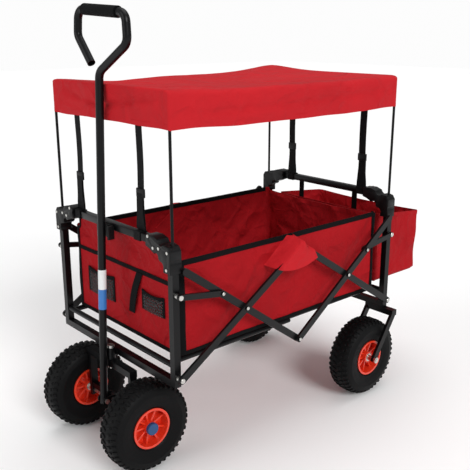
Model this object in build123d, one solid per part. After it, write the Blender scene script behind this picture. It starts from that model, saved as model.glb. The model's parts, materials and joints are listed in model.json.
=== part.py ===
"""Folding camp wagon: welded end frames, scissor sides, steered front axle, basket and canopy.

Frame: X forward to the pull handle, Y to the wagon's left, Z up, in millimetres.
Every piece is drawn about the middle between the four posts and moved by SHIFT_X on export.
"""
import os
from math import atan2, cos, degrees, hypot, radians, sin, tan

from build123d import *

os.makedirs("parts", exist_ok=True)

# ---------------------------------------------------------------- driving dimensions
LENGTH = 873.0            # front post centre to rear post centre
WIDTH = 562.0             # left post centre to right post centre
FRAME_HEIGHT = 353.0      # underside of the bottom bars to the top of a post
CANOPY_RISE = 410.0       # top of a post to the top rod of a canopy bow
WHEEL_DIA = 260.0
WHEEL_WIDTH = 85.0
RIM_DIA = 118.0
FRONT_TRACK = 325.0       # between the middles of the two front wheels
REAR_TRACK = 550.0
BAG_DEPTH = 238.0         # rear bag, front to back
HANDLE_RISE = 1085.0      # handle pivot to the middle of the grip, along the stem
HANDLE_LEAN = 2.4         # degrees the parked handle leans back

# Stock sections
POST = 20.0               # square tube of posts and cross bars
POST_WALL = 1.5
BAR_WIDTH = 20.0          # flat scissor bars
BAR_THICK = 8.0
ROD_DIA = 8.0             # canopy bows
RAIL_DIA = 16.0           # floor frames
RAIL_WALL = 1.5
STEM_DIA = 22.0           # handle tube
STEM_WALL = 2.0
CLOTH = 1.5
MAT_THICK = 6.0
STRAP_WIDTH = 30.0
STRAP_THICK = 2.0

# Fasteners
PIN_DIA = 8.0
RIVET_HEAD_DIA = 14.0
RIVET_HEAD = 2.4
SCREW_DIA = 4.0
SCREW_HEAD_DIA = 8.0
KING_PIN_DIA = 14.0
AXLE_DIA = 12.0

# Clearances
TURN_CLEAR = 0.05         # radial, a pin in a hole that turns
SEAT_CLEAR = 0.05         # between pieces that sit against each other
LAYER_GAP = 1.0           # between bars that swing past each other
WHEEL_TO_FRAME = 23.0     # top of a wheel to the underside of the frame

# Heights of the linkage above the underside of the bottom bars
LOW_PIVOT_RISE = 27.0
FLOOR_PIVOT_RISE = 57.0
STRUT_PIVOT_RISE = 256.5
TOP_MID_RISE = 307.0
LOW_MID_RISE = 17.0
BAR_TOP_RISE = 317.0
BAR_TOP_INSET = 24.5      # top end of a scissor bar behind its post
STRUT_REACH = 140.0       # along the bar from its top end to the strut rivet

# ---------------------------------------------------------------- derived places
WHEEL_R = WHEEL_DIA / 2
HALF_L = LENGTH / 2
HALF_W = WIDTH / 2
HALF_POST = POST / 2
FRAME_Z = WHEEL_DIA + WHEEL_TO_FRAME
POST_TOP = FRAME_Z + FRAME_HEIGHT
TOP_BAR_Z = POST_TOP + 32.0
BOW_Z = POST_TOP + CANOPY_RISE
POST_FACE = HALF_W + HALF_POST
INNER_Y0 = POST_FACE + 3.5
INNER_Y1 = INNER_Y0 + BAR_THICK
OUTER_Y0 = INNER_Y1 + LAYER_GAP
OUTER_Y1 = OUTER_Y0 + BAR_THICK
AXLE_X = HALF_L + HALF_POST + 13.5
REAR_AXLE_X = -(HALF_L - 92.5)
SIDE_Y = HALF_W - 23.0    # outer face of the basket side
END_X = HALF_L - 28.5     # outer face of the basket end walls
FLOOR_Z = FRAME_Z + FLOOR_PIVOT_RISE + RAIL_DIA / 2 + 2.0
BASKET_TOP = POST_TOP - 21.0

LOW_PIVOT = (HALF_L, FRAME_Z + LOW_PIVOT_RISE)
TOP_MID = (0.0, FRAME_Z + TOP_MID_RISE)
LOW_MID = (0.0, FRAME_Z + LOW_MID_RISE)
BAR_TOP = (HALF_L - BAR_TOP_INSET, FRAME_Z + BAR_TOP_RISE)
STRUT_POST = (HALF_L, FRAME_Z + STRUT_PIVOT_RISE)


def crossing(a, b, c, d):
    """Where the line a-b meets the line c-d, in an XZ plane."""
    den = (a[0] - b[0]) * (c[1] - d[1]) - (a[1] - b[1]) * (c[0] - d[0])
    ab = a[0] * b[1] - a[1] * b[0]
    cd = c[0] * d[1] - c[1] * d[0]
    x = (ab * (c[0] - d[0]) - (a[0] - b[0]) * cd) / den
    z = (ab * (c[1] - d[1]) - (a[1] - b[1]) * cd) / den
    return x, z


def along(a, b, distance):
    """The point at a distance from a toward b."""
    share = distance / hypot(b[0] - a[0], b[1] - a[1])
    return a[0] + (b[0] - a[0]) * share, a[1] + (b[1] - a[1]) * share


CROSS = crossing(LOW_PIVOT, TOP_MID, BAR_TOP, LOW_MID)
STRUT_BAR = along(BAR_TOP, LOW_MID, STRUT_REACH)

# ---------------------------------------------------------------- shape helpers


def block(x0, x1, y0, y1, z0, z1):
    """A box between two opposite corners."""
    size = Box(abs(x1 - x0), abs(y1 - y0), abs(z1 - z0))
    return Pos((x0 + x1) / 2, (y0 + y1) / 2, (z0 + z1) / 2) * size


def pin_x(y, z, radius, x0, x1):
    return Pos((x0 + x1) / 2, y, z) * Rot(0, 90, 0) * Cylinder(radius, abs(x1 - x0))


def pin_y(x, z, radius, y0, y1):
    return Pos(x, (y0 + y1) / 2, z) * Rot(90, 0, 0) * Cylinder(radius, abs(y1 - y0))


def pin_z(x, y, radius, z0, z1):
    return Pos(x, y, (z0 + z1) / 2) * Cylinder(radius, abs(z1 - z0))


def box_tube(x0, x1, y0, y1, z0, z1, axis):
    """A square tube whose bore runs along one axis."""
    grow = {"x": (1, 0, 0), "y": (0, 1, 0), "z": (0, 0, 1)}[axis]
    w = POST_WALL
    ix, iy, iz = [1 if g else -w for g in grow]
    bore = block(x0 - ix, x1 + ix, y0 - iy, y1 + iy, z0 - iz, z1 + iz)
    return block(x0, x1, y0, y1, z0, z1) - bore


def flat_bar(a, b, y0, y1, width=BAR_WIDTH, holes=()):
    """A round-ended bar from a to b in an XZ plane, between y0 and y1."""
    length = hypot(b[0] - a[0], b[1] - a[1])
    angle = degrees(atan2(b[1] - a[1], b[0] - a[0]))
    mid = Pos((a[0] + b[0]) / 2, (y0 + y1) / 2, (a[1] + b[1]) / 2)
    bar = mid * Rot(0, -angle, 0) * Box(length, abs(y1 - y0), width)
    bar = bar + pin_y(a[0], a[1], width / 2, y0, y1) + pin_y(b[0], b[1], width / 2, y0, y1)
    for x, z, radius in holes:
        bar = bar - pin_y(x, z, radius, y0 - 1, y1 + 1)
    return bar


def swept(points, bend, radius, wall=0.0):
    """A round bar or tube along a path of straight runs with rounded corners."""
    path = FilletPolyline(*points, radius=bend)
    start = Plane(origin=path @ 0, z_dir=path % 0)
    rod = sweep(start * Circle(radius), path=path)
    if wall:
        rod = rod - sweep(start * Circle(radius - wall), path=path)
    return rod


def left_right(shape):
    return shape, mirror(shape, about=Plane.XZ)


def front_rear(shape):
    return shape, mirror(shape, about=Plane.YZ)


def rivet(x, z, y0, y1, y_head, radius=PIN_DIA / 2, tail=True):
    """A rivet along +Y: shank y0 to y1, its round head from y_head outward, an optional tail."""
    body = pin_y(x, z, radius, y0, y_head + 0.4)
    head = pin_y(x, z, RIVET_HEAD_DIA / 2, y_head, y_head + RIVET_HEAD)
    head = chamfer(head.edges().sort_by(Axis.Y)[-1], 0.8)
    body = body + head
    if tail:
        body = body + pin_y(x, z, radius + 2.0, y0 - 1.6, y0)
    return body


HOLE = PIN_DIA / 2 + TURN_CLEAR
pieces = {}

# ---------------------------------------------------------------- end frames
REAR_FORK_HALF = WHEEL_WIDTH / 2 + 15.0


def end_frame():
    """Two posts and the bottom bar, drawn at the front."""
    x0 = HALF_L - HALF_POST
    x1 = HALF_L + HALF_POST
    frame = block(x0, x1, -POST_FACE, POST_FACE, FRAME_Z, FRAME_Z + POST)
    for side in (1, -1):
        ya = side * (HALF_W - HALF_POST)
        yb = side * POST_FACE
        y0, y1 = min(ya, yb), max(ya, yb)
        frame = frame + block(x0, x1, y0, y1, FRAME_Z, POST_TOP)
    w = POST_WALL
    hollow = block(x0 + w, x1 - w, -POST_FACE + w, POST_FACE - w, FRAME_Z + w, FRAME_Z + POST - w)
    for side in (1, -1):
        ya = side * (HALF_W - HALF_POST + w)
        yb = side * (POST_FACE - w)
        y0, y1 = min(ya, yb), max(ya, yb)
        hollow = hollow + block(x0 + w, x1 - w, y0, y1, FRAME_Z + w, POST_TOP + 1)
    frame = frame - hollow
    for side in (1, -1):
        for x, z in (LOW_PIVOT, STRUT_POST):
            frame = frame - pin_y(x, z, HOLE, side * (POST_FACE - 3), side * (POST_FACE + 1))
        inner = HALF_W - HALF_POST
        frame = frame - pin_y(HALF_L, FRAME_Z + FLOOR_PIVOT_RISE, HOLE,
                              side * (inner - 1), side * (inner + 3))
    return frame


HEAD_TUBE_R = 13.0
HEAD_TUBE_Z0 = FRAME_Z - 11.0
HEAD_TUBE_Z1 = FRAME_Z + POST + 3.0
front_frame = end_frame() + pin_z(AXLE_X, 0, HEAD_TUBE_R, HEAD_TUBE_Z0, HEAD_TUBE_Z1)
front_frame = front_frame + block(HALF_L + HALF_POST - 1, AXLE_X - 9, -11, 11, FRAME_Z, FRAME_Z + POST)
front_frame = front_frame - pin_z(AXLE_X, 0, KING_PIN_DIA / 2 + TURN_CLEAR,
                                  HEAD_TUBE_Z0 - 1, HEAD_TUBE_Z1 + 1)
pieces["front_frame"] = front_frame
pieces["rear_frame"] = mirror(end_frame(), about=Plane.YZ)

# Top bars, held at both ends in the brackets
BAR_END_Y = HALF_W - 44.0
top_bar = box_tube(HALF_L - HALF_POST, HALF_L + HALF_POST, -BAR_END_Y, BAR_END_Y,
                   TOP_BAR_Z - HALF_POST, TOP_BAR_Z + HALF_POST, "y")
pieces["front_top_bar"], pieces["rear_top_bar"] = front_rear(top_bar)

# Corner brackets: a sleeve on the post, an arm up to the top bar, a socket for the bow
BRACKET_X0 = HALF_L - 18.5
BRACKET_X1 = HALF_L + 18.5
BRACKET_FACE = POST_FACE + 2.8
ARM_TIP_Y = HALF_W - 92.0


def bracket():
    outline = [
        (BRACKET_FACE, POST_TOP - 38), (BRACKET_FACE, POST_TOP + 20), (HALF_W + 4, POST_TOP + 32),
        (HALF_W - 26, POST_TOP + 38), (HALF_W - 62, TOP_BAR_Z + 17), (ARM_TIP_Y, TOP_BAR_Z + 15),
        (ARM_TIP_Y - 2, TOP_BAR_Z - 15), (HALF_W - 76, TOP_BAR_Z - 20), (HALF_W - 42, POST_TOP - 4),
        (HALF_W - 18, POST_TOP - 22), (HALF_W - 18, POST_TOP - 38),
    ]
    face = Plane.YZ * make_face(Polyline(*outline, close=True))
    body = Pos(BRACKET_X0, 0, 0) * extrude(face, BRACKET_X1 - BRACKET_X0)
    ends = body.faces().sort_by(Axis.X)
    body = chamfer(ends[0].edges() + ends[-1].edges(), 1.6)
    s = HALF_POST + SEAT_CLEAR
    body = body - block(HALF_L - s, HALF_L + s, HALF_W - s, HALF_W + s, POST_TOP - 60, POST_TOP)
    body = body - block(HALF_L - s, HALF_L + s, 0, BAR_END_Y + 0.5, TOP_BAR_Z - s, TOP_BAR_Z + s)
    body = body - pin_z(HALF_L, HALF_W, ROD_DIA / 2 + SEAT_CLEAR, POST_TOP - 1, POST_TOP + 60)
    for y, z in SCREWS:
        body = body - pin_x(y, z, SCREW_DIA / 2 + SEAT_CLEAR, BRACKET_X1 - 5, BRACKET_X1 + 1)
    return body


SCREWS = (
    (HALF_W - 2, POST_TOP - 28), (HALF_W + 2, POST_TOP + 18), (HALF_W - 34, POST_TOP + 22),
    (HALF_W - 58, TOP_BAR_Z - 13.8), (HALF_W - 80, TOP_BAR_Z + 12.6),
)
corner = bracket()
for end, piece in zip(("front", "rear"), front_rear(corner)):
    for side, part in zip(("left", "right"), left_right(piece)):
        pieces[f"{end}_{side}_bracket"] = part


def fastener_set(low_layer, strut_layer):
    """Rivets that carry the bars on one end frame and the bracket screws, drawn at the front."""
    found = []
    for (x, z), layer in ((LOW_PIVOT, low_layer), (STRUT_POST, strut_layer)):
        y0, y1 = layer
        pin = rivet(x, z, POST_FACE - POST_WALL - SEAT_CLEAR, y1, y1 + 0.3)
        collar = pin_y(x, z, PIN_DIA / 2 + 3, POST_FACE + SEAT_CLEAR, y0 - 0.3)
        found.append(pin + collar)
    for y, z in SCREWS:
        shank = pin_x(y, z, SCREW_DIA / 2, BRACKET_X1 - 4.6, BRACKET_X1 + 0.6)
        found.append(shank + pin_x(y, z, SCREW_HEAD_DIA / 2, BRACKET_X1 + SEAT_CLEAR, BRACKET_X1 + 2))
    found = found + [mirror(one, about=Plane.XZ) for one in found]
    return Compound(children=found)


INNER = (INNER_Y0, INNER_Y1)
OUTER = (OUTER_Y0, OUTER_Y1)
pieces["front_fasteners"] = fastener_set(OUTER, OUTER)
pieces["rear_fasteners"] = mirror(fastener_set(INNER, INNER), about=Plane.YZ)

# Cradle that keeps the parked handle, on the front of the top bar
CRADLE_IN = STEM_DIA / 2 + 13.0
CRADLE_OUT = CRADLE_IN + 6.0
CRADLE_X0 = HALF_L + HALF_POST + SEAT_CLEAR
cradle = block(CRADLE_X0, CRADLE_X0 + 22, -CRADLE_OUT, CRADLE_OUT, TOP_BAR_Z - 34, TOP_BAR_Z + 4)
cradle = chamfer(cradle.edges().filter_by(Axis.Z), 3)
cradle = cradle - block(CRADLE_X0 + 6, CRADLE_X0 + 40, -CRADLE_IN, CRADLE_IN, TOP_BAR_Z - 40, TOP_BAR_Z + 9)
pieces["handle_holder"] = cradle

# ---------------------------------------------------------------- canopy bows, straps, canopy
bow = swept([(HALF_L, HALF_W, POST_TOP + 3), (HALF_L, HALF_W, BOW_Z), (HALF_L, -HALF_W, BOW_Z),
             (HALF_L, -HALF_W, POST_TOP + 3)], 34, ROD_DIA / 2)
pieces["front_canopy_bow"], pieces["rear_canopy_bow"] = front_rear(bow)

CANOPY_X = HALF_L + ROD_DIA / 2 + SEAT_CLEAR + CLOTH - 0.3
CANOPY_Y = HALF_W + ROD_DIA / 2 + SEAT_CLEAR + CLOTH + 2.5
CANOPY_TOP = BOW_Z + ROD_DIA / 2 + SEAT_CLEAR + CLOTH
CANOPY_DROP = 97.0
CANOPY_CLOTH = 1.2
canopy = block(-CANOPY_X, CANOPY_X, -CANOPY_Y, CANOPY_Y, CANOPY_TOP - CANOPY_DROP, CANOPY_TOP)
c = CANOPY_CLOTH
canopy = canopy - block(-CANOPY_X + c, CANOPY_X - c, -CANOPY_Y + c, CANOPY_Y - c,
                        CANOPY_TOP - CANOPY_DROP - 1, CANOPY_TOP - CLOTH)
pieces["canopy"] = canopy

STRAP_SPOTS = {
    "front_left_strap": (1, ARM_TIP_Y - 48.5), "front_right_strap": (1, 20.4 - ARM_TIP_Y),
    "rear_left_strap": (-1, ARM_TIP_Y - 20.4), "rear_right_strap": (-1, 34.45 - ARM_TIP_Y),
}


def strap(y):
    """Webbing looped round the top bar and sewn under the canopy, drawn at the front."""
    h = STRAP_WIDTH / 2
    s = HALF_POST + SEAT_CLEAR
    t = STRAP_THICK
    loop = block(HALF_L - s - t, HALF_L + s + t, y - h, y + h, TOP_BAR_Z - s - t, TOP_BAR_Z + s + t)
    loop = loop - block(HALF_L - s, HALF_L + s, y - h - 1, y + h + 1, TOP_BAR_Z - s, TOP_BAR_Z + s)
    x0 = HALF_L - ROD_DIA / 2 - 3.0
    band = block(x0, x0 + t, y - h, y + h, TOP_BAR_Z + s + 0.5, CANOPY_TOP - CLOTH - SEAT_CLEAR)
    slide = block(x0 - 3, x0 + t + 3, y - h - 2, y + h + 2, TOP_BAR_Z + 100, TOP_BAR_Z + 124)
    return loop + band + slide


for name, (end, y) in STRAP_SPOTS.items():
    one = strap(y)
    pieces[name] = one if end > 0 else mirror(one, about=Plane.YZ)

# ---------------------------------------------------------------- scissor sides
# Front pair: the rising bar is the inner layer, the bar from the low pivot the outer one.
# Rear pair: the other way round, so the two pairs pass each other at the middle.
HEAD_R = RIVET_HEAD_DIA / 2


def end_stud(point, y0, y1, out):
    """A short shouldered stud in the far end of a bar, with its head on one side."""
    x, z = point
    head = pin_y(x, z, HEAD_R, y1, y1 + RIVET_HEAD) if out > 0 else pin_y(x, z, HEAD_R, y0 - RIVET_HEAD, y0)
    return head


# Front low-pivot bar (outer layer) with the crossing pin that both bars turn on
low_bar = flat_bar(LOW_PIVOT, TOP_MID, *OUTER, holes=[(*LOW_PIVOT, HOLE)])
cross_pin = pin_y(*CROSS, PIN_DIA / 2, INNER_Y0 - 0.3, OUTER_Y0 + 1)
cross_pin = cross_pin + pin_y(*CROSS, HEAD_R, INNER_Y0 - 0.3 - RIVET_HEAD, INNER_Y0 - 0.3)
low_bar = low_bar + cross_pin + pin_y(*CROSS, HEAD_R, OUTER_Y1, OUTER_Y1 + RIVET_HEAD)
low_bar = low_bar + pin_y(*TOP_MID, HEAD_R, OUTER_Y1, OUTER_Y1 + RIVET_HEAD)
rise_bar = flat_bar(BAR_TOP, LOW_MID, *INNER, holes=[(*CROSS, HOLE)])

# Rear low-pivot bar (inner layer) and rising bar (outer layer), drawn at the front and mirrored
rear_low = flat_bar(LOW_PIVOT, TOP_MID, *INNER, holes=[(*LOW_PIVOT, HOLE)])
rear_pin = pin_y(*CROSS, PIN_DIA / 2, INNER_Y0 - 0.3, OUTER_Y1 + 0.3)
rear_pin = rear_pin + pin_y(*CROSS, HEAD_R, INNER_Y0 - RIVET_HEAD, INNER_Y0)
rear_pin = rear_pin + pin_y(*CROSS, HEAD_R, OUTER_Y1 + 0.3, OUTER_Y1 + 0.3 + RIVET_HEAD)
rear_low = rear_low + rear_pin
rear_rise = flat_bar(BAR_TOP, LOW_MID, *OUTER, holes=[(*CROSS, HOLE)])
rear_rise = rear_rise + pin_y(*LOW_MID, HEAD_R, OUTER_Y1, OUTER_Y1 + RIVET_HEAD)
rear_rise = rear_rise + pin_y(*STRUT_BAR, HEAD_R, OUTER_Y1, OUTER_Y1 + RIVET_HEAD)

for name, bar in (("front_low_bar", low_bar), ("front_rise_bar", rise_bar)):
    pieces[f"left_{name}"], pieces[f"right_{name}"] = left_right(bar)
for name, bar in (("rear_low_bar", rear_low), ("rear_rise_bar", rear_rise)):
    bar = mirror(bar, about=Plane.YZ)
    pieces[f"left_{name}"], pieces[f"right_{name}"] = left_right(bar)

# Struts between post and rising bar
strut = flat_bar(STRUT_POST, STRUT_BAR, *OUTER, width=16.0, holes=[(*STRUT_POST, HOLE)])
strut = strut + pin_y(*STRUT_BAR, HEAD_R - 1, OUTER_Y1, OUTER_Y1 + RIVET_HEAD)
pieces["front_struts"] = Compound(children=list(left_right(strut)))
post_end = (-STRUT_POST[0], STRUT_POST[1])
bar_end = (-STRUT_BAR[0], STRUT_BAR[1])
strut = flat_bar(post_end, bar_end, *INNER, width=16.0, holes=[(*post_end, HOLE)])
pieces["rear_struts"] = Compound(children=list(left_right(strut)))

# ---------------------------------------------------------------- floor frames
RAIL_R = RAIL_DIA / 2
RAIL_Z = FRAME_Z + FLOOR_PIVOT_RISE
RAIL_LAP = 12.0
FRONT_RAIL_Y = SIDE_Y - 6.0
REAR_RAIL_Y = FRONT_RAIL_Y - RAIL_DIA - 2.0


def floor_frame(rail_y):
    """Cross tube on two pins in the posts, two rails to the middle, one cross tube half way."""
    end = HALF_W - HALF_POST - 1.5
    tip = -RAIL_LAP
    half = HALF_L / 2
    frame = pin_y(HALF_L, RAIL_Z, RAIL_R, -end, end) + pin_y(half, RAIL_Z, RAIL_R - 2, -rail_y, rail_y)
    for y in (rail_y, -rail_y):
        frame = frame + pin_x(y, RAIL_Z, RAIL_R, tip, HALF_L)
    inner = RAIL_R - RAIL_WALL
    for y in (rail_y, -rail_y):
        frame = frame - pin_x(y, RAIL_Z, inner, tip - 1, HALF_L - RAIL_R)
        frame = frame + pin_x(y, RAIL_Z, RAIL_R, tip, tip + 5)
    for side in (1, -1):
        frame = frame + pin_y(HALF_L, RAIL_Z, PIN_DIA / 2, side * (end - 1), side * (end + 5))
    return frame


pieces["front_floor_frame"] = floor_frame(FRONT_RAIL_Y)
pieces["rear_floor_frame"] = mirror(floor_frame(REAR_RAIL_Y), about=Plane.YZ)

# ---------------------------------------------------------------- basket, mat, pockets, bag
floor_z1 = FLOOR_Z + CLOTH
basket = block(-END_X, END_X, -SIDE_Y, SIDE_Y, FLOOR_Z, BASKET_TOP)
basket = basket - block(-END_X + CLOTH, END_X - CLOTH, -SIDE_Y + CLOTH, SIDE_Y - CLOTH,
                        floor_z1, BASKET_TOP + 1)
rear_low_edge = BASKET_TOP - 10.0
basket = basket - block(-END_X - 1, -END_X + CLOTH, -SIDE_Y + 20, SIDE_Y - 20, rear_low_edge, BASKET_TOP + 1)
# The middle of the front wall runs on up to the top bar
HANG_Y = HALF_W - 96.0
BAR_BACK = HALF_L - HALF_POST - SEAT_CLEAR
wall_top = TOP_BAR_Z + 6.0
lift = [(END_X - CLOTH, BASKET_TOP - 30), (END_X, BASKET_TOP - 30), (END_X, BASKET_TOP - 8),
        (BAR_BACK, TOP_BAR_Z - 6), (BAR_BACK, wall_top), (BAR_BACK - CLOTH, wall_top),
        (BAR_BACK - CLOTH, TOP_BAR_Z - 5), (END_X - CLOTH, BASKET_TOP - 7)]
hang = extrude(Plane.XZ * make_face(Polyline(*lift, close=True)), HANG_Y, both=True)


def strap_notches(end):
    """Room for the webbing loops where cloth lies against a top bar."""
    h = STRAP_WIDTH / 2 + 2.0
    found = []
    for side, y in STRAP_SPOTS.values():
        if side == end:
            low = TOP_BAR_Z - HALF_POST - 6
            found.append(block(end * HALF_L - 20, end * HALF_L + 20, y - h, y + h, low, TOP_BAR_Z + 20))
    return found


for notch in strap_notches(1):
    hang = hang - notch
basket = basket + hang


def hood(inset):
    """Hood sewn on the side, over the joint at the top middle of the scissor bars."""
    base_y = SIDE_Y - 0.5
    face_y = OUTER_Y1 + 7.0 - inset
    base = [(-34 + inset, BASKET_TOP + 0 - inset), (28 - inset, BASKET_TOP - inset),
            (84 - inset, BASKET_TOP - 98), (-140 + inset, BASKET_TOP - 98)]
    tip = [(-26 + inset, BASKET_TOP - 6 - inset), (22 - inset, BASKET_TOP - 6 - inset),
           (62 - inset, BASKET_TOP - 96), (-112 + inset, BASKET_TOP - 96)]
    if inset:
        base = base[:2] + [(base[2][0], BASKET_TOP - 99), (base[3][0], BASKET_TOP - 99)]
        tip = tip[:2] + [(tip[2][0], BASKET_TOP - 99), (tip[3][0], BASKET_TOP - 99)]
    low = Plane(origin=(0, base_y, 0), x_dir=(1, 0, 0), z_dir=(0, -1, 0))
    high = Plane(origin=(0, face_y, 0), x_dir=(1, 0, 0), z_dir=(0, -1, 0))
    a = low * make_face(Polyline(*base, close=True))
    b = high * make_face(Polyline(*tip, close=True))
    return loft([a, b], ruled=True)


cover = hood(0.0) - hood(CLOTH)
for end in (1, -1):
    foot = (end * LOW_PIVOT[0], LOW_PIVOT[1])
    cover = cover - flat_bar(foot, TOP_MID, INNER_Y0 - 4, OUTER_Y1 + 4, width=BAR_WIDTH + 8)
basket = basket + cover + mirror(cover, about=Plane.XZ)
pieces["basket"] = basket

mat_z = floor_z1 + SEAT_CLEAR
pieces["floor_mat"] = block(-END_X + 8, END_X - 8, -SIDE_Y + 8, SIDE_Y - 8, mat_z, mat_z + MAT_THICK)


def pouch(y0, y1, z0, z1, deep):
    """An open-topped pocket on the front wall."""
    x0 = END_X + SEAT_CLEAR
    shell = block(x0, x0 + deep, y0, y1, z0, z1)
    return shell - block(x0 + 0.8, x0 + deep - 1, y0 + 1, y1 - 1, z0 + 1, z1 + 1)


pocket_base = FLOOR_Z + 58.0
pockets = [
    pouch(-HALF_W * 0.66, -HALF_W * 0.18, pocket_base, pocket_base + 86, 9.0),
    pouch(HALF_W * 0.36, HALF_W * 0.70, pocket_base + 36, pocket_base + 92, 9.0),
    block(END_X + SEAT_CLEAR, END_X + 4, HALF_W * 0.16, HALF_W * 0.26, pocket_base + 4, pocket_base + 132),
]
pieces["net_pockets"] = Compound(children=pockets)

# Rear bag: an open box of cloth whose front wall runs up to the rear top bar
BAG_X1 = -(HALF_L + HALF_POST + SEAT_CLEAR)
BAG_X0 = BAG_X1 - BAG_DEPTH
BAG_Y = HALF_W - 46.0
BAG_Z0 = FLOOR_Z + 2.0
BAG_TOP_FRONT = POST_TOP - 42.0
BAG_TOP_REAR = POST_TOP - 66.0
side_outline = [(BAG_X0, BAG_Z0), (BAG_X1, BAG_Z0), (BAG_X1, BAG_TOP_FRONT), (BAG_X0, BAG_TOP_REAR)]
bag = extrude(Plane.XZ * make_face(Polyline(*side_outline, close=True)), BAG_Y, both=True)
bag = bag - block(BAG_X0 + CLOTH, BAG_X1 - CLOTH, -BAG_Y + CLOTH, BAG_Y - CLOTH, BAG_Z0 + CLOTH, POST_TOP)
bag = bag + block(BAG_X1 - CLOTH, BAG_X1, -HANG_Y + 6, HANG_Y - 6, BAG_TOP_FRONT - 20, TOP_BAR_Z + 6)
for notch in strap_notches(-1):
    bag = bag - notch
pieces["rear_bag"] = bag

# ---------------------------------------------------------------- wheels
BEAD_R = RIM_DIA / 2 - 3.0
HUB_R = 18.0
HUB_HALF = 31.0
BEARING_R = 13.0
BEARING_LONG = 9.0
HW = WHEEL_WIDTH / 2
SPOKES = 9


def ring(points):
    """A ring about Y from a closed outline of (radius, y)."""
    return revolve(make_face(Polyline(*points, close=True)), axis=Axis.Y)


def tyre():
    r = WHEEL_R
    b = BEAD_R + SEAT_CLEAR
    half = [(b, 0.48 * HW), (b, 0.74 * HW), (b + 6, 0.76 * HW), (b + 20, 0.93 * HW),
            (b + 40, HW), (r - 18, 0.93 * HW), (r - 7, 0.78 * HW), (r - 1.5, 0.5 * HW), (r, 0.2 * HW)]
    outside = half + [(x, -y) for x, y in reversed(half)]
    inside = [(b + 3, 0.5 * HW), (b + 18, 0.64 * HW), (b + 40, 0.74 * HW), (r - 20, 0.66 * HW),
              (r - 12, 0.4 * HW)]
    hollow = [(b - 5, 0.48 * HW)] + inside + [(x, -y) for x, y in reversed(inside)] + [(b - 5, -0.48 * HW)]
    return ring(outside) - ring(hollow)


def rim():
    b = BEAD_R
    lip = 0.76 * HW + SEAT_CLEAR + 0.4
    barrel = ring([(b - 3.5, -lip), (b, -lip), (b, lip), (b - 3.5, lip)])
    for s in (1, -1):
        edge = [(b - 3.5, s * lip), (b + 3, s * lip), (b + 3, s * (lip + 3)), (b - 3.5, s * (lip + 3))]
        barrel = barrel + ring(edge)
    body = barrel + ring([(BEARING_R, -HUB_HALF), (HUB_R, -HUB_HALF), (HUB_R, HUB_HALF),
                          (BEARING_R, HUB_HALF)])
    body = body + ring([(HUB_R - 1, -2.5), (b - 2, -2.5), (b - 2, 2.5), (HUB_R - 1, 2.5)])
    reach = (b - 2) - (HUB_R - 1)
    for n in range(SPOKES):
        spoke = Pos(HUB_R - 1 + reach / 2, 0, 0) * Box(reach, 0.9 * HW, 5)
        body = body + Rot(0, n * 360 / SPOKES, 0) * spoke
    return body


def bearings():
    inner = AXLE_DIA / 2 + TURN_CLEAR
    outer = BEARING_R - SEAT_CLEAR
    found = []
    for s in (1, -1):
        ys = sorted((s * (HUB_HALF - BEARING_LONG), s * HUB_HALF))
        found.append(ring([(inner, ys[0]), (outer, ys[0]), (outer, ys[1]), (inner, ys[1])]))
    return Compound(children=found)


def hub_cap():
    y0 = HUB_HALF + SEAT_CLEAR
    cup = ring([(14, y0), (HUB_R - 0.5, y0), (HUB_R - 0.5, y0 + 9), (16, y0 + 11), (0.0, y0 + 11.5),
                (0.0, y0 + 9), (14, y0 + 8.5)])
    return cup


WHEEL_PLACES = {
    "front_left": (AXLE_X, FRONT_TRACK / 2), "front_right": (AXLE_X, -FRONT_TRACK / 2),
    "rear_left": (REAR_AXLE_X, REAR_TRACK / 2), "rear_right": (REAR_AXLE_X, -REAR_TRACK / 2),
}
WHEEL_SET = {"tyre": tyre(), "rim": rim(), "bearings": bearings()}
cap = hub_cap()
for corner_name, (x, y) in WHEEL_PLACES.items():
    for name, shape in WHEEL_SET.items():
        pieces[f"{corner_name}_{name}"] = Pos(x, y, WHEEL_R) * shape
pieces["front_left_hub_cap"] = Pos(*WHEEL_PLACES["front_left"], WHEEL_R) * cap
pieces["front_right_hub_cap"] = Pos(*WHEEL_PLACES["front_right"], WHEEL_R) * mirror(cap, about=Plane.XZ)

# ---------------------------------------------------------------- rear forks and axles
LEG_THICK = 10.0
LEG_WIDTH = 20.0


def rear_fork():
    """Crown under the post and two legs raked forward to the axle, on the left."""
    y0 = REAR_TRACK / 2 - REAR_FORK_HALF
    y1 = REAR_TRACK / 2 + REAR_FORK_HALF
    fork = block(-HALF_L - 11, -HALF_L + 11, y0, y1, FRAME_Z - SEAT_CLEAR - POST, FRAME_Z - SEAT_CLEAR)
    top = (-HALF_L + 1, FRAME_Z - 12)
    foot = (REAR_AXLE_X, WHEEL_R)
    for a, b in ((y0, y0 + LEG_THICK), (y1 - LEG_THICK, y1)):
        fork = fork + flat_bar(top, foot, a, b, width=LEG_WIDTH)
    bore = pin_y(*foot, AXLE_DIA / 2 + SEAT_CLEAR, y0 - 1, y1 + 1)
    return fork - bore


def rear_axle():
    """Bolt, washers, nut and the two spacer sleeves beside the hub, on the left."""
    x, z = REAR_AXLE_X, WHEEL_R
    mid = REAR_TRACK / 2
    y0 = mid - REAR_FORK_HALF
    y1 = mid + REAR_FORK_HALF
    bolt = pin_y(x, z, AXLE_DIA / 2, y0 - 1, y1 + 9)
    bolt = bolt + pin_y(x, z, 10, y0 - SEAT_CLEAR - 6, y0 - SEAT_CLEAR)
    bolt = bolt + pin_y(x, z, 10, y1 + SEAT_CLEAR, y1 + SEAT_CLEAR + 7)
    for s in (1, -1):
        near = mid + s * (HUB_HALF + 0.3)
        far = mid + s * (REAR_FORK_HALF - LEG_THICK - SEAT_CLEAR)
        bolt = bolt + pin_y(x, z, 9, near, far)
    return bolt


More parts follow.
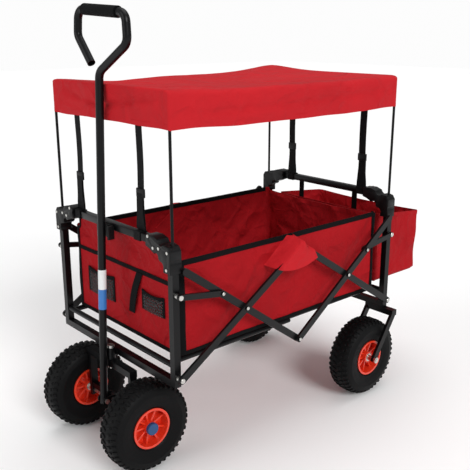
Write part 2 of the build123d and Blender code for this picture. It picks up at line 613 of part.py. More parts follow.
pieces["rear_left_fork"], pieces["rear_right_fork"] = left_right(rear_fork())
pieces["rear_left_axle"], pieces["rear_right_axle"] = left_right(rear_axle())

# ---------------------------------------------------------------- steering and handle
YOKE_TOP = HEAD_TUBE_Z0 - 1.0
YOKE_LOW = YOKE_TOP - 20.0
YOKE_X = 12.0
LEG_OUT = FRONT_TRACK / 2 - HW - 6.0
LEG_IN = LEG_OUT - 12.0
HANDLE_Z = WHEEL_R + 20.0
HANDLE_TO_CANOPY = 0.95420    # behind the leaning stem, at the top of the canopy
HANDLE_X = (CANOPY_X + HANDLE_TO_CANOPY + STEM_DIA / 2 / cos(radians(HANDLE_LEAN))
            + (CANOPY_TOP - HANDLE_Z) * tan(radians(HANDLE_LEAN)))
CHEEK_IN = STEM_DIA / 2 + 0.6
CHEEK_OUT = CHEEK_IN + 4.0
BRACE_X = 8.0

yoke = block(AXLE_X - YOKE_X, AXLE_X + YOKE_X, -LEG_OUT, LEG_OUT, YOKE_LOW, YOKE_TOP)
for s in (1, -1):
    ya, yb = sorted((s * LEG_IN, s * LEG_OUT))
    yoke = yoke + block(AXLE_X - 11, AXLE_X + 11, ya, yb, WHEEL_R - 14, YOKE_LOW + 1)
yoke = yoke + block(AXLE_X - BRACE_X, AXLE_X + BRACE_X, -LEG_IN - 1, LEG_IN + 1,
                    HANDLE_Z - 8, HANDLE_Z + 8)
for s in (1, -1):
    ya, yb = sorted((s * CHEEK_IN, s * CHEEK_OUT))
    yoke = yoke + flat_bar((AXLE_X + BRACE_X - 3, HANDLE_Z), (HANDLE_X, HANDLE_Z), ya, yb, width=24.0)
yoke = yoke - pin_y(HANDLE_X, HANDLE_Z, HOLE, -40, 40)
yoke = yoke - pin_y(AXLE_X, WHEEL_R, AXLE_DIA / 2 + SEAT_CLEAR, -LEG_OUT - 5, LEG_OUT + 5)
yoke = yoke - pin_z(AXLE_X, 0, KING_PIN_DIA / 2 + SEAT_CLEAR, YOKE_LOW - 5, YOKE_TOP + 5)
pieces["steering_yoke"] = yoke

king = pin_z(AXLE_X, 0, KING_PIN_DIA / 2, YOKE_LOW - 4, HEAD_TUBE_Z1 + 6)
king = king + pin_z(AXLE_X, 0, 11, HEAD_TUBE_Z1 + 0.3, HEAD_TUBE_Z1 + 8)
king = king + pin_z(AXLE_X, 0, 11, YOKE_LOW - SEAT_CLEAR - 7, YOKE_LOW - SEAT_CLEAR)
pieces["king_pin"] = king

axle_end = FRONT_TRACK / 2 + HUB_HALF
front_axle = pin_y(AXLE_X, WHEEL_R, AXLE_DIA / 2, -axle_end - 7, axle_end + 7)
for s in (1, -1):
    near = s * (LEG_OUT + SEAT_CLEAR)
    far = s * (FRONT_TRACK / 2 - HUB_HALF - 0.3)
    front_axle = front_axle + pin_y(AXLE_X, WHEEL_R, 9, near, far)
    front_axle = front_axle + pin_y(AXLE_X, WHEEL_R, 10, s * (axle_end + 0.3), s * (axle_end + 6))
pieces["front_axle"] = front_axle

GRIP_DIA = 30.0
LOOP_TOP = HANDLE_Z + HANDLE_RISE
LOOP_RIGHT = 134.0
LOOP_LEFT = -106.0
LOOP_LOW = LOOP_TOP - 155.0
loop_path = [
    (HANDLE_X, 0, HANDLE_Z - 10), (HANDLE_X, 0, LOOP_LOW), (HANDLE_X, LOOP_RIGHT, LOOP_LOW + 75),
    (HANDLE_X, LOOP_RIGHT - 8, LOOP_TOP - 8), (HANDLE_X, LOOP_LEFT + 4, LOOP_TOP + 6),
    (HANDLE_X, LOOP_LEFT, LOOP_LOW + 92), (HANDLE_X, -38, LOOP_LOW + 22),
]
stem = swept(loop_path, 28, STEM_DIA / 2, STEM_WALL)
stem = stem - pin_y(HANDLE_X, HANDLE_Z, PIN_DIA / 2 + SEAT_CLEAR, -40, 40)
stem_foot = pin_y(HANDLE_X, HANDLE_Z, STEM_DIA / 2 - STEM_WALL + 0.4, -STEM_DIA / 2 + 3, STEM_DIA / 2 - 3)
a = (loop_path[3][1], loop_path[3][2])
b = (loop_path[4][1], loop_path[4][2])
g0 = along(a, b, 34)
g1 = along(b, a, 34)
grip_run = Polyline((HANDLE_X, g0[0], g0[1]), (HANDLE_X, g1[0], g1[1]))
grip_start = Plane(origin=grip_run @ 0, z_dir=grip_run % 0)
grip = sweep(grip_start * (Circle(GRIP_DIA / 2) - Circle(STEM_DIA / 2 + SEAT_CLEAR)), path=grip_run)
bolt = pin_y(HANDLE_X, HANDLE_Z, PIN_DIA / 2, -CHEEK_OUT - 1, CHEEK_OUT + 1)
for s in (1, -1):
    bolt = bolt + pin_y(HANDLE_X, HANDLE_Z, 7, s * (CHEEK_OUT + 0.3), s * (CHEEK_OUT + 5))

lean_axis = Axis((HANDLE_X, 0, HANDLE_Z), (0, 1, 0))
pieces["handle_tube"] = stem.rotate(lean_axis, -HANDLE_LEAN)
pieces["handle_grip"] = grip.rotate(lean_axis, -HANDLE_LEAN)
pieces["handle_pivot_bolt"] = bolt

# ---------------------------------------------------------------- placing and export
FRONT_EXTENT = AXLE_X + WHEEL_R
REAR_EXTENT = BAG_X0
SHIFT_X = -(FRONT_EXTENT + REAR_EXTENT) / 2
for name, piece in pieces.items():
    export_step(Pos(SHIFT_X, 0, 0) * piece, f"parts/{name}.step")
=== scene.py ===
"""Folding camp wagon: cloth, webbing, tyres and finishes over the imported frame."""

import json
import math

import bpy
from mathutils import Matrix, Vector, noise


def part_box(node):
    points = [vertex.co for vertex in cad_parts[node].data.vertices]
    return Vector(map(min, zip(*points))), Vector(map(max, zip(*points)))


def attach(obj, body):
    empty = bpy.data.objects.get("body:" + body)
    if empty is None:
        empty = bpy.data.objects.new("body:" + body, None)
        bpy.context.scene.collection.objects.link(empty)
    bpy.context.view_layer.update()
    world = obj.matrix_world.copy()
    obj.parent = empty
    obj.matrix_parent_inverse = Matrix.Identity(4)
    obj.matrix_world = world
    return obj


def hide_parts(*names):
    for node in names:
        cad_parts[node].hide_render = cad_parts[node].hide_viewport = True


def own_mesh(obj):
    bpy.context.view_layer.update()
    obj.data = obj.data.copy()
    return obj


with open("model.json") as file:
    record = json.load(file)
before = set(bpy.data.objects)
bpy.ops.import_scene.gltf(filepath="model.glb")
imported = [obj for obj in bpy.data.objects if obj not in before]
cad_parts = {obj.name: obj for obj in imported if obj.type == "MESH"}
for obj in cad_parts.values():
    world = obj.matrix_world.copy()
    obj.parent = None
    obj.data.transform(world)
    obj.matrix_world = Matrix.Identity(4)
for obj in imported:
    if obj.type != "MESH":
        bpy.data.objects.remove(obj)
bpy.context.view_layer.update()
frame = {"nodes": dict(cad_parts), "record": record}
bpy.ops.object.select_all(action="DESELECT")

# ---------------------------------------------------------------- places read from the frame


def middle(node, axis):
    low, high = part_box(node)
    return (low[axis] + high[axis]) / 2


FRONT_X = middle("front_top_bar", 0)
REAR_X = middle("rear_top_bar", 0)
MID_X = (FRONT_X + REAR_X) / 2
HALF_L = (FRONT_X - REAR_X) / 2
HALF_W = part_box("front_canopy_bow")[1][1] - 0.004
BAR_Z = middle("front_top_bar", 2)
BASKET_LOW, BASKET_HIGH = [Vector(p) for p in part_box("basket")]
END_X = MID_X - BASKET_LOW.x
SIDE_Y = HALF_W - 0.023
FLOOR_Z = BASKET_LOW.z
RIM_Z = middle("rear_top_bar", 2) - 0.053
CANOPY_LOW, CANOPY_HIGH = [Vector(p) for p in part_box("canopy")]
BAG_LOW, BAG_HIGH = [Vector(p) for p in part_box("rear_bag")]
POST_FOOT = middle("front_floor_frame", 2) - 0.057
BAR_CLEAR_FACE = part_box("left_front_low_bar")[1][1]


def at(x, y, z):
    """A point given from the middle between the four posts."""
    return Vector((MID_X + x, y, z))


def pick(obj):
    """Make one object the selected and active one."""
    bpy.ops.object.select_all(action="DESELECT")
    obj.select_set(True)
    bpy.context.view_layer.objects.active = obj


# ---------------------------------------------------------------- studio


def studio():
    bpy.ops.object.camera_add(location=at(1.44386, 1.66313, 1.18207))
    camera = bpy.context.object
    look = Vector((-0.63471, -0.72270, -0.27358))
    camera.rotation_euler = look.to_track_quat("-Z", "Y").to_euler()
    camera.data.sensor_width = 36.0
    camera.data.lens = 36.0 * 716.25 / 470.0
    camera.data.clip_end = 60.0
    bpy.context.scene.camera = camera
    bpy.ops.mesh.primitive_plane_add(size=40, location=(0, 0, -0.0005))
    floor = bpy.context.object
    floor.name = "studio_floor"
    paper = bpy.data.materials.new("studio_paper")
    paper.use_nodes = True
    shader = paper.node_tree.nodes["Principled BSDF"]
    shader.inputs["Base Color"].default_value = (0.93, 0.93, 0.93, 1)
    shader.inputs["Roughness"].default_value = 0.9
    floor.data.materials.append(paper)
    for name, place, spread, power in (
        ("key", (0.55, 3.4, 2.3), 0.45, 1.8),
        ("over", (-0.6, -0.3, 3.6), 0.9, 1.15),
        ("front_fill", (3.4, -1.0, 1.5), 0.7, 0.75),
    ):
        bpy.ops.object.light_add(type="SUN", location=place)
        lamp = bpy.context.object
        lamp.name = name
        lamp.data.angle = spread
        lamp.data.energy = power
        lamp.rotation_euler = (-Vector(place)).to_track_quat("-Z", "Y").to_euler()
    world = bpy.data.worlds.new("studio_air")
    bpy.context.scene.world = world
    world.use_nodes = True
    tree = world.node_tree
    path = tree.nodes.new("ShaderNodeLightPath")
    level = tree.nodes.new("ShaderNodeMapRange")
    level.inputs["To Min"].default_value = 0.36
    level.inputs["To Max"].default_value = 0.98
    tree.links.new(path.outputs["Is Camera Ray"], level.inputs["Value"])
    tree.nodes["Background"].inputs["Color"].default_value = (1, 1, 1, 1)
    tree.links.new(level.outputs["Result"], tree.nodes["Background"].inputs["Strength"])
    bpy.context.scene.view_settings.view_transform = "Standard"


studio()

# ---------------------------------------------------------------- shader groups


def group(name, inputs, outputs):
    tree = bpy.data.node_groups.new(name, "ShaderNodeTree")
    for label, value in inputs:
        kind = "NodeSocketColor" if isinstance(value, tuple) else "NodeSocketFloat"
        socket = tree.interface.new_socket(label, in_out="INPUT", socket_type=kind)
        socket.default_value = value
    for label, kind in outputs:
        tree.interface.new_socket(label, in_out="OUTPUT", socket_type=kind)
    return tree, tree.nodes.new("NodeGroupInput"), tree.nodes.new("NodeGroupOutput")


def calc(tree, operation, a, b, c=None):
    """A math node whose inputs are sockets or numbers."""
    node = tree.nodes.new("ShaderNodeMath")
    node.operation = operation
    for slot, value in zip(node.inputs, (a, b, c)):
        if value is None:
            continue
        if isinstance(value, (int, float)):
            slot.default_value = value
        else:
            tree.links.new(value, slot)
    return node.outputs[0]


def build_weave():
    """Plain weave on Object coordinates: two thread directions show on any face."""
    tree, enter, leave = group("plain_weave", [("Pitch", 0.0012)], [("Height", "NodeSocketFloat")])
    place = tree.nodes.new("ShaderNodeTexCoord")
    split = tree.nodes.new("ShaderNodeSeparateXYZ")
    tree.links.new(place.outputs["Object"], split.inputs[0])
    waves = []
    for axis in range(3):
        turn = calc(tree, "DIVIDE", split.outputs[axis], enter.outputs["Pitch"])
        waves.append(calc(tree, "SINE", calc(tree, "MULTIPLY", turn, math.pi), 0.0))
    xy = calc(tree, "MULTIPLY", waves[0], waves[1])
    yz = calc(tree, "MULTIPLY", waves[1], waves[2])
    zx = calc(tree, "MULTIPLY", waves[2], waves[0])
    total = calc(tree, "ADD", calc(tree, "ADD", xy, yz), zx)
    tree.links.new(calc(tree, "MULTIPLY_ADD", total, 0.25, 0.5), leave.inputs["Height"])
    return tree


def build_mottle():
    """Slow colour change, as dye, dust and handling leave it."""
    tree, enter, leave = group(
        "mottle", [("Color", (0.5, 0.5, 0.5, 1.0)), ("Size", 8.0), ("Amount", 0.2)],
        [("Color", "NodeSocketColor"), ("Mask", "NodeSocketFloat")])
    place = tree.nodes.new("ShaderNodeTexCoord")
    cloud = tree.nodes.new("ShaderNodeTexNoise")
    cloud.inputs["Detail"].default_value = 5.0
    tree.links.new(place.outputs["Object"], cloud.inputs["Vector"])
    tree.links.new(enter.outputs["Size"], cloud.inputs["Scale"])
    swing = calc(tree, "SUBTRACT", cloud.outputs["Fac"], 0.5)
    value = calc(tree, "ADD", calc(tree, "MULTIPLY", swing, enter.outputs["Amount"]), 1.0)
    tint = tree.nodes.new("ShaderNodeVectorMath")
    tint.operation = "SCALE"
    tree.links.new(enter.outputs["Color"], tint.inputs[0])
    tree.links.new(value, tint.inputs["Scale"])
    tree.links.new(tint.outputs[0], leave.inputs["Color"])
    tree.links.new(cloud.outputs["Fac"], leave.inputs["Mask"])
    return tree


def build_speckle():
    """Fine grain of paint or moulded plastic."""
    tree, enter, leave = group("speckle", [("Size", 900.0)], [("Height", "NodeSocketFloat")])
    place = tree.nodes.new("ShaderNodeTexCoord")
    grain = tree.nodes.new("ShaderNodeTexNoise")
    grain.inputs["Detail"].default_value = 2.0
    tree.links.new(place.outputs["Object"], grain.inputs["Vector"])
    tree.links.new(enter.outputs["Size"], grain.inputs["Scale"])
    tree.links.new(grain.outputs["Fac"], leave.inputs["Height"])
    return tree


def build_crease():
    """Soft ridges of crumpled cloth: where two slow clouds cross their middle."""
    tree, enter, leave = group("crease", [("Size", 5.0)], [("Height", "NodeSocketFloat")])
    place = tree.nodes.new("ShaderNodeTexCoord")
    total = None
    for scale, sharp in ((1.0, 9.0), (2.3, 7.0)):
        cloud = tree.nodes.new("ShaderNodeTexNoise")
        cloud.inputs["Detail"].default_value = 1.5
        cloud.inputs["Distortion"].default_value = 0.6
        tree.links.new(place.outputs["Object"], cloud.inputs["Vector"])
        tree.links.new(calc(tree, "MULTIPLY", enter.outputs["Size"], scale), cloud.inputs["Scale"])
        ridge = calc(tree, "ABSOLUTE", calc(tree, "SUBTRACT", cloud.outputs["Fac"], 0.5), 0.0)
        ridge = calc(tree, "SUBTRACT", 1.0, calc(tree, "MULTIPLY", ridge, sharp))
        ridge = calc(tree, "DIVIDE", calc(tree, "MAXIMUM", ridge, 0.0), scale)
        total = ridge if total is None else calc(tree, "ADD", total, ridge)
    tree.links.new(total, leave.inputs["Height"])
    return tree


WEAVE = build_weave()
CREASE = build_crease()
MOTTLE = build_mottle()
SPECKLE = build_speckle()


def use(material, tree, **values):
    node = material.node_tree.nodes.new("ShaderNodeGroup")
    node.node_tree = tree
    for label, value in values.items():
        node.inputs[label].default_value = value
    return node


def finish(name, color, rough, rough_span, mottle, texture, depth, distance,
           creases=None, **plain):
    """A finish: mottled colour, roughness that wanders with it, and one bump pattern."""
    material = bpy.data.materials.new(name)
    material.use_nodes = True
    tree = material.node_tree
    shader = tree.nodes["Principled BSDF"]
    cloud = use(material, MOTTLE, Color=(*color, 1.0), Size=mottle[0], Amount=mottle[1])
    tree.links.new(cloud.outputs["Color"], shader.inputs["Base Color"])
    span = tree.nodes.new("ShaderNodeMapRange")
    span.inputs["To Min"].default_value = rough - rough_span
    span.inputs["To Max"].default_value = rough + rough_span
    tree.links.new(cloud.outputs["Mask"], span.inputs["Value"])
    tree.links.new(span.outputs["Result"], shader.inputs["Roughness"])
    bump = tree.nodes.new("ShaderNodeBump")
    bump.inputs["Strength"].default_value = depth
    bump.inputs["Distance"].default_value = distance
    tree.links.new(texture(material).outputs["Height"], bump.inputs["Height"])
    tree.links.new(bump.outputs["Normal"], shader.inputs["Normal"])
    if creases:
        fold = tree.nodes.new("ShaderNodeBump")
        fold.inputs["Strength"].default_value = creases[1]
        fold.inputs["Distance"].default_value = 0.006
        tree.links.new(use(material, CREASE, Size=creases[0]).outputs["Height"], fold.inputs["Height"])
        tree.links.new(fold.outputs["Normal"], bump.inputs["Normal"])
    for label, value in plain.items():
        shader.inputs[label.replace("_", " ")].default_value = value
    return material


def weave(pitch):
    return lambda material: use(material, WEAVE, Pitch=pitch)


def grain(size):
    return lambda material: use(material, SPECKLE, Size=size)


RED_CLOTH = finish("red_polyester", (0.35, 0.0065, 0.0105), 0.76, 0.08, (7, 0.4), weave(0.0011), 0.35,
                   0.0004, creases=(6.0, 1.0), Specular_IOR_Level=0.1)
CANOPY_CLOTH = finish("canopy_polyester", (0.49, 0.012, 0.018), 0.72, 0.08, (6, 0.3), weave(0.0011),
                      0.35, 0.0004, creases=(4.5, 1.0), Specular_IOR_Level=0.12)
BLACK_TAPE = finish("black_binding", (0.004, 0.004, 0.0045), 0.8, 0.08, (30, 0.5), weave(0.0016), 0.6,
                    0.0006, Specular_IOR_Level=0.1)
WEBBING = finish("black_webbing", (0.005, 0.005, 0.0055), 0.7, 0.1, (40, 0.5), weave(0.0022), 0.8,
                 0.0009, Specular_IOR_Level=0.12)
MAT_CLOTH = finish("mat_cloth", (0.010, 0.010, 0.011), 0.8, 0.06, (18, 0.5), weave(0.0016), 0.5, 0.0006)
FRAME_PAINT = finish("black_powder_coat", (0.0025, 0.0025, 0.003), 0.34, 0.1, (14, 0.6), grain(1100),
                     0.12, 0.0003, Specular_IOR_Level=0.16, Coat_Weight=0.1, Coat_Roughness=0.25)
BAR_PAINT = finish("bar_enamel", (0.004, 0.004, 0.0045), 0.32, 0.1, (20, 0.6), grain(900), 0.10, 0.0003,
                   Specular_IOR_Level=0.18, Coat_Weight=0.12, Coat_Roughness=0.2)
BOW_PAINT = finish("bow_enamel", (0.003, 0.003, 0.0035), 0.4, 0.1, (30, 0.5), grain(1200), 0.10, 0.0003,
                   Specular_IOR_Level=0.16)
BRACKET = finish("black_nylon", (0.003, 0.003, 0.0035), 0.42, 0.12, (40, 0.7), grain(700), 0.25, 0.0004,
                 Specular_IOR_Level=0.22)
STEEL = finish("zinc_plate", (0.62, 0.61, 0.58), 0.3, 0.12, (120, 0.4), grain(600), 0.1, 0.0003,
               Metallic=1.0)
TYRE = finish("tread_rubber", (0.0025, 0.0025, 0.0028), 0.55, 0.14, (35, 0.9), grain(500), 0.3, 0.0006,
              Specular_IOR_Level=0.12)
RIM_RED = finish("rim_red", (0.74, 0.040, 0.013), 0.28, 0.08, (25, 0.25), grain(400), 0.06, 0.0003,
                 Coat_Weight=0.25, Coat_Roughness=0.12)
CAP_BLUE = finish("cap_blue", (0.010, 0.06, 0.18), 0.3, 0.08, (60, 0.3), grain(400), 0.08, 0.0003)
GRIP_FOAM = finish("grip_foam", (0.004, 0.004, 0.0045), 0.85, 0.08, (60, 0.6), grain(1500), 0.6, 0.0006,
                   Specular_IOR_Level=0.12)
LABEL_WHITE = finish("label_white", (0.72, 0.73, 0.73), 0.4, 0.06, (60, 0.15), grain(500), 0.05, 0.0002)
LABEL_BLUE = finish("label_blue", (0.03, 0.16, 0.45), 0.35, 0.06, (60, 0.2), grain(500), 0.05, 0.0002)


def build_net():
    """Open mesh: alpha holes between knitted threads."""
    material = finish("black_net", (0.012, 0.012, 0.013), 0.7, 0.08, (30, 0.4), weave(0.003), 0.5, 0.0006)
    tree = material.node_tree
    mesh = use(material, WEAVE, Pitch=0.0045)
    holes = tree.nodes.new("ShaderNodeMapRange")
    holes.inputs["From Min"].default_value = 0.40
    holes.inputs["From Max"].default_value = 0.52
    holes.inputs["To Min"].default_value = 0.95
    holes.inputs["To Max"].default_value = 0.25
    tree.links.new(mesh.outputs["Height"], holes.inputs["Value"])
    tree.links.new(holes.outputs["Result"], tree.nodes["Principled BSDF"].inputs["Alpha"])
    return material


NET = build_net()

FINISHES = {
    "frame_paint": FRAME_PAINT, "bar_paint": BAR_PAINT, "bow_paint": BOW_PAINT, "bracket_plastic": BRACKET,
    "fastener_steel": STEEL, "red_cloth": RED_CLOTH, "canopy_cloth": CANOPY_CLOTH, "black_net": NET,
    "mat_cloth": MAT_CLOTH, "webbing": WEBBING, "tyre_rubber": TYRE, "rim_plastic": RIM_RED,
    "cap_plastic": CAP_BLUE, "grip_rubber": GRIP_FOAM,
}


SLOTS = {part["node"]: part["material_slot"] for part in frame["record"]["subparts"]}


def dress_frame():
    """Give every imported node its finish."""
    for name, obj in frame["nodes"].items():
        for slot in obj.material_slots:
            slot.material = FINISHES[SLOTS[name]]
        if not obj.material_slots:
            obj.data.materials.append(FINISHES[SLOTS[name]])


dress_frame()

# ---------------------------------------------------------------- sheet builders


CUTS = {}


def sheet_object(name, rows, closed=False, thick=0.0012, offset=0.0, smooth=True, cap=False):
    """A sheet from rows of points; closed rows join their last point to the first."""
    points = [p for row in rows for p in row]
    width = len(rows[0])
    faces = []
    for r in range(len(rows) - 1):
        for c in range(width if closed else width - 1):
            a = r * width + c
            b = r * width + (c + 1) % width
            faces.append((a, b, b + width, a + width))
    if cap:
        faces.append(tuple(reversed(range(width))))
    mesh = bpy.data.meshes.new(name)
    mesh.from_pydata([tuple(p) for p in points], [], faces)
    obj = bpy.data.objects.new(name, mesh)
    bpy.context.collection.objects.link(obj)
    CUTS[name] = cut_of(rows, closed)
    return thicken(obj, thick, offset, smooth)


def crosswise(x, y, z, half, marks=(-1, -0.5, 0, 0.5, 1)):
    """One row of points across a strip of webbing or tape."""
    return [Vector((x, y + half * w, z)) for w in marks]


def cut_of(rows, closed):
    """Width, length and area of a sheet, measured along its rows and columns."""
    area = 0.0
    width = len(rows[0])
    for low, high in zip(rows, rows[1:]):
        for c in range(width if closed else width - 1):
            d = (c + 1) % width
            area += (low[d] - low[c]).cross(high[c] - low[c]).length / 2
            area += (high[c] - high[d]).cross(low[d] - high[d]).length / 2
    along = [sum((b - a).length for a, b in zip(row, row[1:] + (row[:1] if closed else [])))
             for row in rows]
    across = [sum((b[c] - a[c]).length for a, b in zip(rows, rows[1:])) for c in range(width)]
    return max(across), max(along), area


def declare(obj, flat=None):
    """Work out the flat size of the cloth a piece was cut from; the result is not kept.

    Where the surface has more area than the flat size, the width is enlarged to hold it. The canopy alone
    needs this: its top overlaps itself along the diagonals, so its flat width is not a measured one.
    """
    wide, long, area = CUTS[obj.name]
    if flat is None:
        flat = (wide, long)
    if area > flat[0] * flat[1]:
        flat = (area / flat[1] * 1.0002, flat[1])


def thicken(obj, thick, offset=0.0, smooth=True):
    """Give a sheet its thickness and shade it."""
    pick(obj)
    wall = obj.modifiers.new("wall", "SOLIDIFY")
    wall.thickness = thick
    wall.offset = offset
    bpy.ops.object.modifier_apply(modifier=wall.name)
    if smooth:
        bpy.ops.object.shade_smooth_by_angle(angle=math.radians(50))
    obj.select_set(False)
    return obj


def hand_over(obj, body, material, slot, *nodes):
    """Finish a piece: material, the body it rides on and the nodes it replaces."""
    obj.data.materials.clear()
    obj.data.materials.append(material)
    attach(obj, body)
    if nodes:
        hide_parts(*nodes)
    return obj


FOLD_TRAVEL = 0.6
BASKET_KEEP = max(0.05, 1 - FOLD_TRAVEL / (2 * END_X))


def crumple(*objs, anchor_x=MID_X + END_X, keep=BASKET_KEEP):
    """Give each piece a mesh of its own, not shared with any other object."""
    for obj in objs:
        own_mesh(obj)


def smoothstep(a, b, t):
    k = max(0.0, min(1.0, (t - a) / (b - a)))
    return k * k * (3 - 2 * k)


def fold_line(u, v, a, b, wide, high):
    """Height of a soft crease from a to b on a flat (u, v) panel."""
    du, dv = b[0] - a[0], b[1] - a[1]
    span = du * du + dv * dv
    t = max(0.0, min(1.0, ((u - a[0]) * du + (v - a[1]) * dv) / span))
    off = math.hypot(u - a[0] - t * du, v - a[1] - t * dv)
    fade = math.sin(math.pi * min(1.0, max(0.0, 0.08 + 0.84 * t)))
    return high * fade * math.exp(-((off / wide) ** 2))


# ---------------------------------------------------------------- basket
CORNER_R = 0.014
HANG_HALF = 0.178
BAR_BACK = HALF_L - 0.0128
SPOTS_PER_METRE = 110


def basket_outline(count):
    """Points round the basket from the middle of the left side, with normals and panel names."""
    a, b, r = END_X, SIDE_Y, CORNER_R
    runs = [
        ("left", Vector((-(a - r), b)), Vector((a - r, b)), Vector((0, 1))),
        ("front", Vector((a, b - r)), Vector((a, -(b - r))), Vector((1, 0))),
        ("right", Vector((a - r, -b)), Vector((-(a - r), -b)), Vector((0, -1))),
        ("rear", Vector((-a, -(b - r))), Vector((-a, b - r)), Vector((-1, 0))),
    ]
    found = []
    for n, (panel, start, stop, out) in enumerate(runs):
        steps = max(2, round(count * (stop - start).length))
        for k in range(steps + 1):
            found.append((start.lerp(stop, k / steps), out, panel))
        centre = stop + (-out) * r
        turn = runs[(n + 1) % 4][3]
        for k in range(1, 4):
            angle = k / 4 * math.pi / 2
            way = (out * math.cos(angle) + turn * math.sin(angle)).normalized()
            found.append((centre + way * r, way, "corner"))
    return found


def rim_height(x, y, panel):
    """Top edge of the basket cloth."""
    if panel == "front":
        return BAR_Z - 0.004 - 0.058 * smoothstep(HANG_HALF, SIDE_Y - 0.012, abs(y))
    if panel == "rear":
        return RIM_Z - 0.010 - 0.006 * math.cos(math.pi * y / (2 * SIDE_Y))
    return RIM_Z


def wall_point(spot, z, out, panel, proud=0.0):
    """A point on the basket wall: folds, slack, and the front leaning up to its bar."""
    x, y = spot
    rise = (z - FLOOR_Z) / (RIM_Z - FLOOR_Z)
    slack = math.sin(math.pi * min(1.0, max(0.0, rise)))
    bulge = 0.0
    if panel in ("left", "right"):
        side = 1 if panel == "left" else -1
        for a, b, wide, high in (
            ((-0.02, 0.60), (-0.33, 0.36), 0.026, 0.008), ((0.04, 0.60), (0.36, 0.37), 0.026, 0.008),
            ((-0.39, 0.60), (-0.20, 0.36), 0.020, -0.007), ((0.39, 0.60), (0.18, 0.37), 0.022, -0.007),
            ((-0.12, 0.50), (0.02, 0.36), 0.016, 0.006), ((0.10, 0.52), (-0.02, 0.37), 0.014, -0.006),
            ((0.30, 0.56), (0.05, 0.40), 0.010, 0.005), ((-0.30, 0.55), (-0.10, 0.38), 0.012, 0.005),
            ((0.13, 0.59), (0.22, 0.44), 0.010, 0.005), ((-0.09, 0.59), (-0.20, 0.47), 0.010, 0.005),
            ((0.37, 0.50), (0.24, 0.38), 0.009, 0.005), ((-0.24, 0.60), (-0.37, 0.48), 0.010, 0.004),
        ):
            bulge += fold_line(x * side, z, a, b, wide, high)
    if panel in ("front", "rear"):
        for a, b, wide, high in (
            ((-0.24, 0.52), (0.05, 0.36), 0.018, 0.006), ((0.24, 0.52), (0.02, 0.37), 0.016, 0.006),
            ((0.20, 0.44), (0.06, 0.36), 0.009, 0.005), ((-0.10, 0.60), (-0.20, 0.40), 0.020, -0.006),
            ((0.02, 0.66), (0.10, 0.56), 0.014, -0.006), ((-0.15, 0.65), (-0.05, 0.56), 0.014, -0.006),
            ((-0.22, 0.60), (-0.10, 0.56), 0.010, -0.006), ((0.24, 0.58), (0.08, 0.545), 0.010, -0.005),
            ((0.0, 0.52), (-0.12, 0.42), 0.010, 0.005), ((0.22, 0.40), (0.10, 0.53), 0.010, 0.004),
        ):
            bulge += fold_line(y, z, a, b, wide, high)
    cloud = noise.noise(Vector((x * 9, y * 9, z * 11)))
    fine = noise.noise(Vector((x * 24, y * 24, z * 30)))
    bulge += (0.0045 * cloud + 0.0014 * fine) * slack
    if panel != "corner":
        bulge += 0.003 * slack
    lean = 0.0
    if panel == "front":
        bulge *= 1 - smoothstep(RIM_Z, BAR_Z - 0.012, z)
        lean = (BAR_BACK - END_X) * smoothstep(RIM_Z - 0.012, BAR_Z - 0.012, z)
        bulge = min(bulge, 0.0)
    if panel == "rear":
        bulge = min(bulge, 0.004)
    move = out * (bulge + proud)
    return at(x + move.x + lean, y + move.y, z)


def build_basket():
    outline = basket_outline(SPOTS_PER_METRE)
    levels = 30
    rows = []
    for k in range(levels + 1):
        share = k / levels
        row = []
        for spot, out, panel in outline:
            top = rim_height(spot.x, spot.y, panel)
            z = FLOOR_Z + 0.001 + (top - FLOOR_Z - 0.001) * share
            row.append(wall_point(spot, z, out, panel, -0.0006))
        rows.append(row)
    floor = [[at(spot.x * ring, spot.y * ring, FLOOR_Z + 0.0008) for spot, out, panel in outline]
             for ring in (0.12, 0.4, 0.7, 0.94)]
    rows = floor + rows
    shell = sheet_object("basket_cloth", rows, closed=True, thick=0.0011, cap=True)
    hand_over(shell, "front_end", RED_CLOTH, "red_cloth", "basket")
    return shell


def strip(name, spots, zs, proud, thick, material=BLACK_TAPE, slot="black_net"):
    """Binding tape that lies on the basket wall, between two heights at each spot."""
    rows = []
    for z in zs:
        rows.append([wall_point(s, z(s, p) if callable(z) else z, o, p, proud) for s, o, p in spots])
    piece = sheet_object(name, rows, thick=thick)
    hand_over(piece, "front_end", material, slot)
    return piece


def basket_trim():
    outline = basket_outline(SPOTS_PER_METRE)
    made = []
    runs = {side: [s for s in outline if s[2] == side] for side in ("left", "right", "rear", "front")}
    for side, spots in runs.items():
        top = [lambda s, p, d=d: rim_height(s.x, s.y, p) - 0.014 + d for d in (0.0, 0.005, 0.010, 0.0146)]
        if side == "front":
            top = [lambda s, p, d=d: rim_height(s.x, s.y, p) - 0.008 + d for d in (0.0, 0.004, 0.0082)]
        proud, thick = (0.0004, 0.0044) if side == "front" else (-0.0006, 0.0042)
        cloth = (RED_CLOTH, "red_cloth") if side == "rear" else (BLACK_TAPE, "black_net")
        made.append(strip(f"{side}_rim_tape", spots, top, proud, thick, *cloth))
        low = [FLOOR_Z + d for d in (0.0006, 0.006, 0.012)]
        made.append(strip(f"{side}_foot_tape", spots, low, 0.0010, 0.0016))
    band = [RIM_Z - 0.074 + d for d in (0, 0.006, 0.012)]
    made.append(strip("front_pocket_band", runs["front"], band, 0.0014, 0.0018))
    count = len(outline)
    corners = [n for n, s in enumerate(outline) if s[2] == "corner"]
    for n in range(0, len(corners), 3):
        ring = [outline[(corners[n] + k) % count] for k in range(-2, 5)]
        zs = [FLOOR_Z + 0.001 + (RIM_Z - 0.004 - FLOOR_Z) * k / 14 for k in range(15)]
        made.append(strip(f"corner_tape_{n // 3}", ring, zs, 0.0012, 0.0016))
    return made


HOOD_Z = RIM_Z - 0.002


